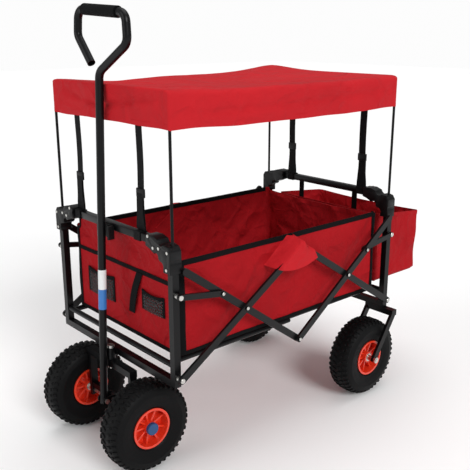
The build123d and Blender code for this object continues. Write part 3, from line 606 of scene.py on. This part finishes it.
def hood(side):
    """Hood sewn under the rim: it runs out over the joint of the bars and ends in a loose arc."""
    rows = []
    face = BAR_CLEAR_FACE + 0.0048
    for k in range(17):
        t = k / 16
        rear, front = -0.012 - 0.046 * t ** 0.7, 0.014 + 0.097 * t
        wide = front - rear
        row = []
        for c in range(33):
            u = c / 32
            x = rear + wide * u
            sewn = smoothstep(0.0, min(0.45, 0.021 / wide), 1 - u)
            loose = smoothstep(-0.02, min(0.40, 0.020 / wide), u)
            loose = loose + (1 - loose) * smoothstep(0.30, 0.62, t)
            gather = 0.0016 * math.sin(u * 19) * (1 - t) ** 2 * math.sin(math.pi * u)
            out = SIDE_Y + 0.0008 + (face - SIDE_Y) * sewn * loose * smoothstep(-0.07, 0.15, t) + gather
            sway = 0.0022 * t * noise.noise(Vector((u * 5, t * 3, 7.7)))
            arc = 0.018 * (1 - (2 * u - 1) ** 2) * t
            row.append(at(x, side * (out + max(0.0, sway)), HOOD_Z - 0.068 * t - arc))
        rows.append(row)
    name = "left_hood" if side > 0 else "right_hood"
    piece = sheet_object(name, rows, thick=0.0011)
    hand_over(piece, "front_end", CANOPY_CLOTH, "red_cloth")
    return piece


def dome(name, body, x, y, z, radius, side):
    """Domed steel head of a rivet: a half sphere, flattened, its rim on the bar's own head."""
    bpy.ops.mesh.primitive_uv_sphere_add(segments=20, ring_count=10, radius=radius, location=(0, 0, 0))
    piece = bpy.context.object
    piece.name = name
    piece.data.name = name
    bpy.ops.object.mode_set(mode="EDIT")
    bpy.ops.mesh.select_all(action="SELECT")
    bpy.ops.mesh.bisect(plane_co=(0, 0, 0), plane_no=(0, side, 0), clear_inner=True, use_fill=True)
    bpy.ops.mesh.select_all(action="SELECT")
    bpy.ops.transform.resize(value=(1, 0.38, 1))
    bpy.ops.object.mode_set(mode="OBJECT")
    piece.location = (x, y, z)
    settle(piece)
    hand_over(piece, body, STEEL, "fastener_steel")


basket = build_basket()
trim = basket_trim()
hoods = [hood(1), hood(-1)]
declare(basket,
        flat=(2 * SIDE_Y + 2 * (BAR_Z - FLOOR_Z), 2 * END_X + 2 * (BAR_Z - FLOOR_Z)))
for side_hood in hoods:
    declare(side_hood)
crumple(basket, *trim, *hoods)

# ---------------------------------------------------------------- floor mat


def build_mat():
    """Quilted pad in sewn panels, crowned between its seams."""
    low, high = [Vector(p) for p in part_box("floor_mat")]
    rows = []
    nx, ny = 96, 60
    for i in range(nx + 1):
        row = []
        for j in range(ny + 1):
            u, v = i / nx, j / ny
            x = low.x + (high.x - low.x) * u
            y = low.y + (high.y - low.y) * v
            panel = abs(math.sin(math.pi * u * 4)) ** 0.5
            rim = min(1.0, min(v, 1 - v) * 18, min(u, 1 - u) * 24)
            lift = 0.0015 + (high.z - low.z - 0.0018) * (0.25 + 0.75 * panel) * (0.2 + 0.8 * rim ** 0.5)
            row.append(Vector((x, y, low.z + lift)))
        rows.append(row)
    pad = sheet_object("mat_pad", rows, thick=0.0014, offset=-1.0)
    hand_over(pad, "front_end", MAT_CLOTH, "mat_cloth", "floor_mat")
    return pad


mat = build_mat()
crumple(mat)

# ---------------------------------------------------------------- canopy


def loop_points(half_x, half_y, radius, per_side):
    """A rounded rectangle, counter-clockwise, as (x, y, nx, ny)."""
    found = []
    signs = ((1, 1), (-1, 1), (-1, -1), (1, -1))
    for n in range(4):
        turn = n * math.pi / 2
        sx, sy = signs[n]
        cx, cy = sx * (half_x - radius), sy * (half_y - radius)
        for k in range(7):
            angle = turn + k / 6 * math.pi / 2
            found.append((cx + radius * math.cos(angle), cy + radius * math.sin(angle),
                          math.cos(angle), math.sin(angle)))
        nxt = signs[(n + 1) % 4]
        ex, ey = nxt[0] * (half_x - radius), nxt[1] * (half_y - radius)
        last = found[-1]
        steps = per_side[n % 2]
        goal = (ex + radius * last[2], ey + radius * last[3])
        for k in range(1, steps):
            s = k / steps
            found.append((last[0] + (goal[0] - last[0]) * s, last[1] + (goal[1] - last[1]) * s,
                          last[2], last[3]))
    return found


ROUND_X, ROUND_Y = 0.0052, 0.018


def fall(distance, radius):
    """How far a rounded edge has dropped at a distance in from the outline."""
    reach = max(0.0, radius - distance)
    return radius - math.sqrt(max(0.0, radius * radius - reach * reach))


def canopy_top(x, y):
    """Drop of the canopy cloth over a point: it hangs a little between its two bows."""
    span = max(0.0, 1 - (x / (HALF_L - 0.006)) ** 2)
    cross = max(0.0, 1 - (y / HALF_W) ** 2)
    sag = (0.007 + 0.016 * cross) * span
    ripple = 0.0035 * noise.noise(Vector((x * 6, y * 7, 3.1)))
    ripple += 0.0012 * noise.noise(Vector((x * 19, y * 17, 1.4)))
    folds = 0.0
    for a, b, wide, high in (
        ((0.42, 0.27), (0.14, 0.10), 0.020, 0.0060), ((0.42, -0.27), (0.16, -0.08), 0.020, 0.0050),
        ((-0.42, 0.27), (-0.14, 0.06), 0.018, 0.0050), ((-0.42, -0.27), (-0.12, -0.12), 0.020, 0.0050),
        ((0.41, 0.05), (0.10, 0.02), 0.014, 0.0040), ((-0.41, 0.10), (-0.05, -0.02), 0.014, 0.0035),
        ((0.40, 0.20), (0.22, 0.26), 0.012, 0.0040), ((-0.10, 0.27), (0.06, 0.16), 0.014, 0.0035),
        ((0.40, -0.12), (0.22, -0.16), 0.010, 0.0030), ((-0.30, 0.24), (-0.18, 0.14), 0.010, 0.0030),
    ):
        folds += fold_line(x, y, a, b, wide, high)
    dip = 0.010 * math.exp(-(((x - 0.24) / 0.13) ** 2) - ((y + 0.28) / 0.10) ** 2)
    dip += 0.007 * math.exp(-(((x - 0.33) / 0.07) ** 2) - ((y - 0.02) / 0.16) ** 2)
    peak = 0.013 * math.exp(-(((x + 0.43) / 0.13) ** 2) - ((y + 0.28) / 0.13) ** 2)
    return peak - sag - dip + (ripple + folds) * min(1.0, span * 2.2)


def build_canopy():
    """One sheet from the middle of the top, over the bows and down to the hem."""
    half_x = CANOPY_HIGH.x - MID_X - 0.0004
    half_y = CANOPY_HIGH.y - 0.0012
    top = CANOPY_HIGH.z - 0.0010
    base = loop_points(half_x, half_y, 0.010, (64, 44))
    insets = [0.034, 0.027, 0.021, 0.016, 0.0115, 0.008, 0.0052, 0.0034, 0.0018, 0.0007, 0.0001]

    def over(x, y):
        edge = fall(half_y - abs(y), ROUND_Y) + fall(half_x - abs(x), ROUND_X)
        return top + canopy_top(x, y) - edge

    rows = []
    for inset, share in [(0.040, 0.015 + 0.985 * k / 19) for k in range(19)] + [(i, 1.0) for i in insets]:
        row = []
        for x, y, nx, ny in base:
            px, py = (x - nx * inset) * share, (y - ny * inset) * share
            row.append(at(px, py, over(px, py)))
        rows.append(row)
    foot = CANOPY_LOW.z + 0.0010
    for k in range(1, 17):
        t = k / 16
        row = []
        for x, y, nx, ny in base:
            side = abs(ny) > 0.5
            along = x if side else y
            span = max(0.0, 1 - (x / HALF_L) ** 2) if side else max(0.0, 1 - (y / HALF_W) ** 2)
            wave = 0.0085 * noise.noise(Vector((along * 5, ny * 3, t * 1.1 + nx * 5)))
            wave += 0.0040 * noise.noise(Vector((along * 13, ny * 3 + 2, t * 2.2)))
            pull = 0.004 if side else 0.001
            push = (wave * (0.25 + 0.75 * t) - pull * t) * min(1.0, span * 3)
            for c, lean, high in ((0.385, -0.05, 0.0075), (0.27, -0.12, 0.006), (-0.39, 0.06, 0.006),
                                  (0.05, -0.09, 0.005), (-0.22, 0.09, 0.006), (-0.06, 0.05, -0.006),
                                  (0.17, 0.06, -0.006), (-0.31, -0.05, -0.005)):
                centre = (c + lean * t) * (1.0 if side else 0.62)
                ridge = math.exp(-(((along - centre) / 0.013) ** 2))
                push += high * ridge * math.sin(math.pi * min(1, t * 1.1))
            if side:
                seam = math.exp(-(((along + 0.20 + 0.01 * t) / 0.006) ** 2))
                push -= 0.0065 * seam * max(0.0, 1 - t * 1.3) * (ny > 0)
                push -= 0.0060 * math.exp(-(((t - 0.42 - 0.35 * along) / 0.13) ** 2)) * min(1.0, span * 2)
            elif nx > 0:
                line = 0.10 + 0.36 * math.exp(-(((along + 0.03) / 0.16) ** 2))
                push -= 0.0085 * math.exp(-(((t - line - 0.10) / 0.11) ** 2)) * min(1.0, span * 1.6)
            inner = -0.014 if side else -0.0002 - 0.012 * span * smoothstep(0.10, 0.24, t)
            push = max(inner, min(push, 0.009 if side else 0.0))
            wander = 0.0035 * noise.noise(Vector((along * 7, ny * 2, 5.0)))
            low = foot - 0.006 * span * max(0.0, ny) + wander
            edge = over(x, y)
            row.append(at(x + nx * push, y + ny * push, edge + (low - edge) * t))
        rows.append(row)
    cloth = sheet_object("canopy_cloth", rows, closed=True, thick=0.0010, cap=True)
    hand_over(cloth, "front_end", CANOPY_CLOTH, "canopy_cloth", "canopy")
    hem_rows = [[p + Vector((0, 0, d)) for p in rows[-1]] for d in (0.0125, 0.0065, 0.0004)]
    hem = sheet_object("canopy_hem", hem_rows, closed=True, thick=0.0016)
    hand_over(hem, "front_end", CANOPY_CLOTH, "canopy_cloth")
    drop = CANOPY_HIGH.z - CANOPY_LOW.z
    declare(cloth,
            flat=(2 * (half_y + drop), 2 * (half_x + drop)))
    return cloth, hem


canopy = build_canopy()
crumple(*canopy, anchor_x=CANOPY_HIGH.x, keep=1 - FOLD_TRAVEL / (CANOPY_HIGH.x - CANOPY_LOW.x))

# ---------------------------------------------------------------- rear bag


def build_bag():
    """Open bag: rounded foot, sides that hang slack, a rim that drops toward the rear."""
    x0, x1 = BAG_LOW.x + 0.0008, BAG_HIGH.x - 0.0008
    half_x, half_y = (x1 - x0) / 2, BAG_HIGH.y - 0.001
    mid = (x0 + x1) / 2 - MID_X
    base = loop_points(half_x, half_y, 0.018, (26, 34))
    foot = BAG_LOW.z + 0.001
    rim_front, rim_rear = BAR_Z - 0.074, BAR_Z - 0.098
    rows = []
    for ring in (0.03, 0.3, 0.6, 0.85):
        rows.append([at(mid + x * ring, y * ring, foot) for x, y, nx, ny in base])
    levels = 22
    for k in range(levels + 1):
        t = k / levels
        row = []
        for x, y, nx, ny in base:
            share = (x + half_x) / (2 * half_x)
            top = rim_rear + (rim_front - rim_rear) * share
            if nx < -0.5:
                top -= 0.006 * (1 - (y / half_y) ** 2)
            round_off = 0.012 * (1 - min(1.0, t / 0.06)) ** 2
            slack = math.sin(math.pi * t) ** 0.8
            cloud = noise.noise(Vector((x * 8, y * 8 + 4, t * 2.4)))
            push = (-0.004 - 0.005 * cloud) * slack - round_off
            if nx > 0.5:
                push = min(0.0, push) * 0.3 - round_off * 0.3
            for a, b, high in (((-0.20, 0.9), (-0.05, 0.1), 0.004), ((0.18, 0.85), (0.10, 0.1), -0.004)):
                push += fold_line(y if abs(nx) > 0.5 else x * 1.6, t, a, b, 0.04, high) * slack
            push = min(push, 0.003)
            z = foot + (top - foot) * t
            row.append(at(mid + x + nx * push, y + ny * push, z))
        rows.append(row)
    cloth = sheet_object("bag_cloth", rows, closed=True, thick=0.0011, cap=True)
    hand_over(cloth, "rear_end", RED_CLOTH, "red_cloth", "rear_bag")
    hem_rows = [[p + Vector((0, 0, d)) for p in rows[-1]] for d in (-0.013, -0.006, 0.0004)]
    hem = sheet_object("bag_hem", hem_rows, closed=True, thick=0.0024)
    hand_over(hem, "rear_end", RED_CLOTH, "red_cloth")
    tabs = []
    for n, y in enumerate((-0.118, 0.130)):
        rows = []
        for z in (rim_front - 0.03, rim_front, rim_front + 0.03, BAR_Z - 0.012, BAR_Z + 0.006):
            rows.append(crosswise(BAG_HIGH.x - 0.001, y, z, 0.011))
        tab = sheet_object(f"bag_tab_{n}", rows, thick=0.0014)
        hand_over(tab, "rear_end", BLACK_TAPE, "webbing")
        tabs.append(tab)
    tall = rim_front - foot
    declare(cloth,
            flat=(2 * half_x + 2 * tall, 2 * half_y + 2 * tall))
    return [cloth, hem] + tabs


bag = build_bag()

# ---------------------------------------------------------------- webbing


BUCKLE_Z = BAR_Z + 0.112


def build_strap(node, end, body):
    """Webbing from the canopy to the top bar, gathered wide where it goes round the bar."""
    low, high = [Vector(p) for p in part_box(node)]
    y = (low.y + high.y) / 2
    bar_x = FRONT_X if end > 0 else REAR_X
    face = bar_x - end * 0.006
    top, foot = high.z - 0.0004, BAR_Z + 0.0105
    path = []
    for k in range(22):
        t = k / 21
        z = top + (foot - top) * t
        wide = 0.0135 + 0.0045 * smoothstep(0.78, 0.98, t)
        sway = 0.0012 * math.sin(t * 9.0)
        path.append((face + end * sway, z, wide))
    h = 0.0117
    x_in, x_out = bar_x - end * h, bar_x + end * h
    ring = [(x_in, BAR_Z + h), (x_in, BAR_Z - h), (x_out, BAR_Z - h), (x_out, BAR_Z + h),
            (x_in + end * 0.004, BAR_Z + h)]
    rows = [crosswise(x, y, z, wide, (-1, -0.6, -0.2, 0.2, 0.6, 1)) for x, z, wide in path]
    made = [sheet_object(f"{node}_web", rows, thick=0.0018)]
    loop = [crosswise(x, y, z, 0.0145) for x, z in ring]
    made.append(sheet_object(f"{node}_loop", loop, thick=0.0016, smooth=False))
    tail_x = face + end * 0.0040
    tail_top = BUCKLE_Z
    rows = []
    for k in range(12):
        t = k / 11
        z = tail_top + (foot + 0.004 - tail_top) * t
        lift = 0.0025 * math.sin(math.pi * t)
        wide = 0.0135 + 0.0055 * smoothstep(0.45, 1.0, t)
        rows.append(crosswise(tail_x + end * lift * 0.4, y, z, wide))
    made.append(sheet_object(f"{node}_tail", rows, thick=0.0018))
    for piece in made:
        hand_over(piece, body, WEBBING, "webbing")
    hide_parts(node)
    made.append(buckle(f"{node}_buckle", Vector((face + end * 0.001, y, BUCKLE_Z)), body))
    declare(made[0])
    return made


def buckle(name, place, body):
    """Ladder buckle: a rounded frame with one cross bar, modelled from a cube."""
    bpy.ops.mesh.primitive_cube_add(size=1, location=place)
    piece = bpy.context.object
    piece.name = name
    piece.data.name = name
    bpy.ops.object.mode_set(mode="EDIT")
    bpy.ops.transform.resize(value=(0.0075, 0.034, 0.024))
    bpy.ops.mesh.bevel(offset=0.0022, segments=2, affect="EDGES")
    bpy.ops.object.mode_set(mode="OBJECT")
    settle(piece)
    hand_over(piece, body, BRACKET, "bracket_plastic")
    return piece


def settle(piece):
    """Put the piece's place in its mesh and shade it."""
    pick(piece)
    bpy.ops.object.transform_apply(location=True, rotation=True, scale=True)
    bpy.ops.object.shade_smooth_by_angle(angle=math.radians(40))
    piece.select_set(False)


for end_name, end, body in (("front", 1, "front_end"), ("rear", -1, "rear_end")):
    for side_name in ("left", "right"):
        build_strap(f"{end_name}_{side_name}_strap", end, body)

# ---------------------------------------------------------------- pockets on the front wall


def pocket(name, y0, y1, z0, z1, puff):
    """Net pocket that stands off the wall, with a taped rim."""
    rows = []
    wall = at(END_X, 0, 0).x + 0.0012
    for k in range(13):
        t = k / 12
        z = z0 + (z1 - z0) * t
        row = []
        for c in range(21):
            u = c / 20
            edge = math.sin(math.pi * u) ** 0.5 if 0 < u < 1 else 0.0
            out = puff * edge * (0.25 + 0.75 * math.sin(math.pi * (0.1 + 0.75 * t)))
            drop = 0.005 * (1 - (2 * u - 1) ** 2) * t
            row.append(Vector((wall + out, y0 + (y1 - y0) * u, z - drop)))
        rows.append(row)
    net = sheet_object(f"{name}_net", rows, thick=0.0008)
    hand_over(net, "front_end", NET, "black_net")
    rim = [[p + Vector((0.0006, 0, d)) for p in rows[-1]] for d in (-0.010, -0.005, 0.0006)]
    tape = sheet_object(f"{name}_tape", rim, thick=0.0022)
    hand_over(tape, "front_end", BLACK_TAPE, "black_net")
    parts = [tape]
    for n, y in ((0, y0), (1, y1)):
        rows = [crosswise(wall + 0.0008, y, z, 0.005, (-1, 0, 1)) for z in (z0, (z0 + z1) / 2, z1)]
        edge = sheet_object(f"{name}_edge_{n}", rows, thick=0.0016)
        hand_over(edge, "front_end", BLACK_TAPE, "black_net")
        parts.append(edge)
    declare(net)
    crumple(net, *parts)
    return net


pocket_z = FLOOR_Z + 0.058
wide_pocket = pocket("wide_pocket", -0.186, -0.050, pocket_z + 0.010, pocket_z + 0.088, 0.009)
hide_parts("net_pockets")
pocket("small_pocket", 0.101, 0.197, pocket_z + 0.034, pocket_z + 0.092, 0.009)


def pocket_strap():
    """Wide tape that hangs from the band beside the small pocket."""
    wall = at(END_X, 0, 0).x + 0.0022
    rows = []
    for k in range(10):
        t = k / 9
        z = RIM_Z - 0.072 - 0.128 * t
        y = 0.088 - 0.045 * t
        bow = 0.006 * math.sin(math.pi * t)
        rows.append(crosswise(wall + bow, y, z, 0.014))
    piece = sheet_object("pocket_strap", rows, thick=0.0018)
    hand_over(piece, "front_end", BLACK_TAPE, "black_net")
    declare(piece)
    crumple(piece)


pocket_strap()

# ---------------------------------------------------------------- tyres
WHEEL_R = middle("front_left_tyre", 2)
HALF_WIDE = (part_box("front_left_tyre")[1][1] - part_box("front_left_tyre")[0][1]) / 2
LUGS = 42
PITCH = 2 * math.pi / LUGS


def tyre_carcass(name):
    """Tyre body: a section spun about its axle, open toward the rim."""
    w, r = HALF_WIDE, WHEEL_R
    half = [(a, share * w) for a, share in (
        (0.0566, 0.50), (0.0566, 0.72), (0.0600, 0.77), (0.0640, 0.83), (0.0655, 0.865), (0.0690, 0.865),
        (0.0760, 0.93), (0.0860, 0.985), (0.0960, 0.995), (0.0975, 1.0), (0.0995, 1.0), (0.1010, 0.985),
        (0.1080, 0.95), (r - 0.0140, 0.87), (r - 0.0078, 0.72), (r - 0.0048, 0.50), (r - 0.0034, 0.25),
        (r - 0.0031, 0.0))]
    profile = half + [(a, -b) for a, b in reversed(half[:-1])]
    mesh = bpy.data.meshes.new(name)
    points = [(a, b, 0) for a, b in profile]
    mesh.from_pydata(points, [(n, n + 1) for n in range(len(points) - 1)], [])
    obj = bpy.data.objects.new(name, mesh)
    bpy.context.collection.objects.link(obj)
    bpy.context.view_layer.objects.active = obj
    obj.select_set(True)
    bpy.ops.object.mode_set(mode="EDIT")
    bpy.ops.mesh.select_all(action="SELECT")
    bpy.ops.mesh.spin(steps=96, angle=2 * math.pi, center=(0, 0, 0), axis=(0, 1, 0))
    bpy.ops.mesh.select_all(action="SELECT")
    bpy.ops.mesh.remove_doubles(threshold=0.00005)
    bpy.ops.mesh.normals_make_consistent(inside=False)
    bpy.ops.object.mode_set(mode="OBJECT")
    obj.select_set(False)
    return obj


def lug(size, taper):
    """One tread block, modelled from a cube: narrower at its face, edges bevelled."""
    bpy.ops.mesh.primitive_cube_add(size=1, location=(0, 0, 0))
    piece = bpy.context.object
    bpy.ops.object.mode_set(mode="EDIT")
    bpy.ops.transform.resize(value=size)
    bpy.ops.object.mode_set(mode="OBJECT")
    for v in piece.data.vertices:
        if v.co.z > 0:
            v.co.x *= taper
            v.co.y *= taper
    bpy.ops.object.mode_set(mode="EDIT")
    bpy.ops.mesh.select_all(action="SELECT")
    bpy.ops.mesh.bevel(offset=0.0010, segments=1, affect="EDGES")
    bpy.ops.object.mode_set(mode="OBJECT")
    return piece


def build_tyres():
    carcass = tyre_carcass("tyre_body")
    shoulder = lug((0.0098, 0.0165, 0.0066), 0.84)
    middle_lug = lug((0.0085, 0.0180, 0.0050), 0.86)
    blocks = []
    w, r = HALF_WIDE, WHEEL_R
    for n in range(LUGS):
        for s in (1, -1):
            shift = PITCH * n + (0.5 * PITCH if s < 0 else 0)
            place = Matrix.Rotation(shift, 4, "Y") @ Matrix.Translation((0, s * 0.72 * w, r - 0.0085))
            place = place @ Matrix.Rotation(s * math.radians(-34), 4, "X")
            blocks.append((shoulder, place))
            inner = Matrix.Rotation(shift + 0.35 * PITCH, 4, "Y")
            inner = inner @ Matrix.Translation((0, s * 0.25 * w, r - 0.0027))
            inner = inner @ Matrix.Rotation(s * math.radians(24), 4, "Z")
            blocks.append((middle_lug, inner))
    joined = bpy.data.meshes.new("tyre_tread")
    points, faces = [], []
    for source, place in blocks:
        start = len(points)
        points += [tuple(place @ v.co) for v in source.data.vertices]
        faces += [tuple(start + k for k in f.vertices) for f in source.data.polygons]
    joined.from_pydata(points, [], faces)
    tread = bpy.data.objects.new("tyre_tread", joined)
    bpy.context.collection.objects.link(tread)
    pick(carcass)
    tread.select_set(True)
    bpy.ops.object.join()
    carcass.select_set(False)
    for source in (shoulder, middle_lug):
        bpy.data.objects.remove(source)
    for corner in ("front_left", "front_right", "rear_left", "rear_right"):
        piece = carcass.copy()
        piece.data = carcass.data.copy()
        piece.name = f"{corner}_treaded_tyre"
        bpy.context.collection.objects.link(piece)
        node = f"{corner}_tyre"
        centre = Vector((middle(node, 0), middle(node, 1), middle(node, 2)))
        turn = Matrix.Rotation(math.radians(7 * len(corner)), 4, "Y")
        piece.data.transform(Matrix.Translation(centre) @ turn)
        pick(piece)
        bpy.ops.object.shade_smooth_by_angle(angle=math.radians(28))
        piece.select_set(False)
        hand_over(piece, f"{corner}_wheel", TYRE, "tyre_rubber", node)
    bpy.data.objects.remove(carcass)


build_tyres()

# ---------------------------------------------------------------- handle label


def build_label():
    """Sticker wrapped round the stem: a white half over a blue half."""
    low, high = [Vector(p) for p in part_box("handle_pivot_bolt")]
    foot = (low + high) / 2
    lean = math.radians(2.4)
    for name, z0, z1, material in (
        ("label_upper", 0.4892, 0.546, LABEL_WHITE), ("label_lower", 0.430, 0.4888, LABEL_BLUE),
    ):
        bpy.ops.mesh.primitive_cylinder_add(
            radius=0.0113, depth=z1 - z0, vertices=40, end_fill_type="NOTHING",
            location=(0, 0, (z0 + z1) / 2 - foot.z))
        piece = bpy.context.object
        piece.name = name
        piece.data.name = name
        settle(piece)
        piece.data.transform(Matrix.Translation(foot) @ Matrix.Rotation(-lean, 4, "Y"))
        thicken(piece, 0.0003, 1.0)
        hand_over(piece, "handle", material, "cap_plastic")


build_label()

# ---------------------------------------------------------------- steel rivet heads


def cross_point(a, b, c, d):
    """Where two lines in the side view meet."""
    den = (a[0] - b[0]) * (c[1] - d[1]) - (a[1] - b[1]) * (c[0] - d[0])
    ab, cd = a[0] * b[1] - a[1] * b[0], c[0] * d[1] - c[1] * d[0]
    return tuple((ab * (c[k] - d[k]) - (a[k] - b[k]) * cd) / den for k in (0, 1))


def build_domes():
    """Domes on the heads that the bars carry: crossings, strut ends and the lower middle joint."""
    low, top_mid = (HALF_L, POST_FOOT + 0.027), (0.0, POST_FOOT + 0.307)
    top, low_mid = (HALF_L - 0.0245, POST_FOOT + 0.317), (0.0, POST_FOOT + 0.017)
    cross = cross_point(low, top_mid, top, low_mid)
    share = 0.140 / math.hypot(low_mid[0] - top[0], low_mid[1] - top[1])
    strut = (top[0] + (low_mid[0] - top[0]) * share, top[1] + (low_mid[1] - top[1]) * share)
    face = BAR_CLEAR_FACE
    rear_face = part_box("left_rear_low_bar")[1][1]
    for side, word in ((1, "left"), (-1, "right")):
        for label, body, x, z, out, r in (
            ("front_cross", "front_low_bars", cross[0], cross[1], face, 0.0052),
            ("front_strut", "front_strut_pair", strut[0], strut[1], face, 0.0050),
            ("rear_cross", "rear_low_bars", -cross[0], cross[1], rear_face, 0.0052),
            ("rear_strut", "rear_rise_bars", -strut[0], strut[1], face, 0.0050),
            ("low_middle", "rear_rise_bars", 0.0, low_mid[1], face, 0.0055),
        ):
            dome(f"{word}_{label}_dome", body, MID_X + x, side * (out - 0.0001), z, r, side)


build_domes()

# ---------------------------------------------------------------- worn edges


# Hollows between a corner bracket's screws: distance in from its outer face, height over its foot, radius
HOLLOWS = (
    (0.0398, 0.0835, 0.0155), (0.0608, 0.0350, 0.0110), (0.0408, 0.0150, 0.0120), (0.1135, 0.0690, 0.0100),
    (-0.0100, 0.0300, 0.0118),
)


def hollow_out(piece, node):
    """Cuts the hollows that leave a bracket with a lobe around each screw."""
    low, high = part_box(node)
    outer, inward = (high[1], -1) if "left" in node else (low[1], 1)
    for inset, rise, radius in HOLLOWS:
        bpy.ops.mesh.primitive_cylinder_add(
            vertices=40, radius=radius, depth=0.08, rotation=(0, math.pi / 2, 0),
            location=((low[0] + high[0]) / 2, outer + inward * inset, low[2] + rise))
        cutter = bpy.context.object
        bpy.context.view_layer.objects.active = piece
        cut = piece.modifiers.new("hollow", "BOOLEAN")
        cut.operation = "DIFFERENCE"
        cut.solver = "EXACT"
        cut.object = cutter
        bpy.ops.object.modifier_apply(modifier=cut.name)
        bpy.data.objects.remove(cutter, do_unlink=True)
    piece.select_set(True)


def soften(node, body, width):
    """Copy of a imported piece, its flats merged and its edges rounded as paint or moulding leaves them."""
    source = frame["nodes"][node]
    pick(source)
    bpy.ops.object.duplicate()
    piece = bpy.context.object
    piece.name = f"{node}_edges"
    bpy.ops.object.mode_set(mode="EDIT")
    bpy.ops.mesh.select_all(action="SELECT")
    bpy.ops.mesh.remove_doubles(threshold=0.00002)
    bpy.ops.mesh.dissolve_limited(angle_limit=math.radians(0.5))
    bpy.ops.object.mode_set(mode="OBJECT")
    if node.endswith("bracket"):
        hollow_out(piece, node)
    edge = piece.modifiers.new("edge", "BEVEL")
    edge.width = width
    edge.segments = 2
    edge.limit_method = "ANGLE"
    edge.angle_limit = math.radians(50)
    bpy.ops.object.modifier_apply(modifier=edge.name)
    bpy.ops.object.shade_smooth_by_angle(angle=math.radians(35))
    piece.select_set(False)
    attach(piece, body)
    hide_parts(node)


for node, body, width in (
    ("front_left_bracket", "front_end", 0.0022), ("front_right_bracket", "front_end", 0.0022),
    ("rear_left_bracket", "rear_end", 0.0022), ("rear_right_bracket", "rear_end", 0.0022),
    ("front_top_bar", "front_end", 0.0012), ("rear_top_bar", "rear_end", 0.0012),
    ("handle_holder", "front_end", 0.0010),
):
    soften(node, body, width)
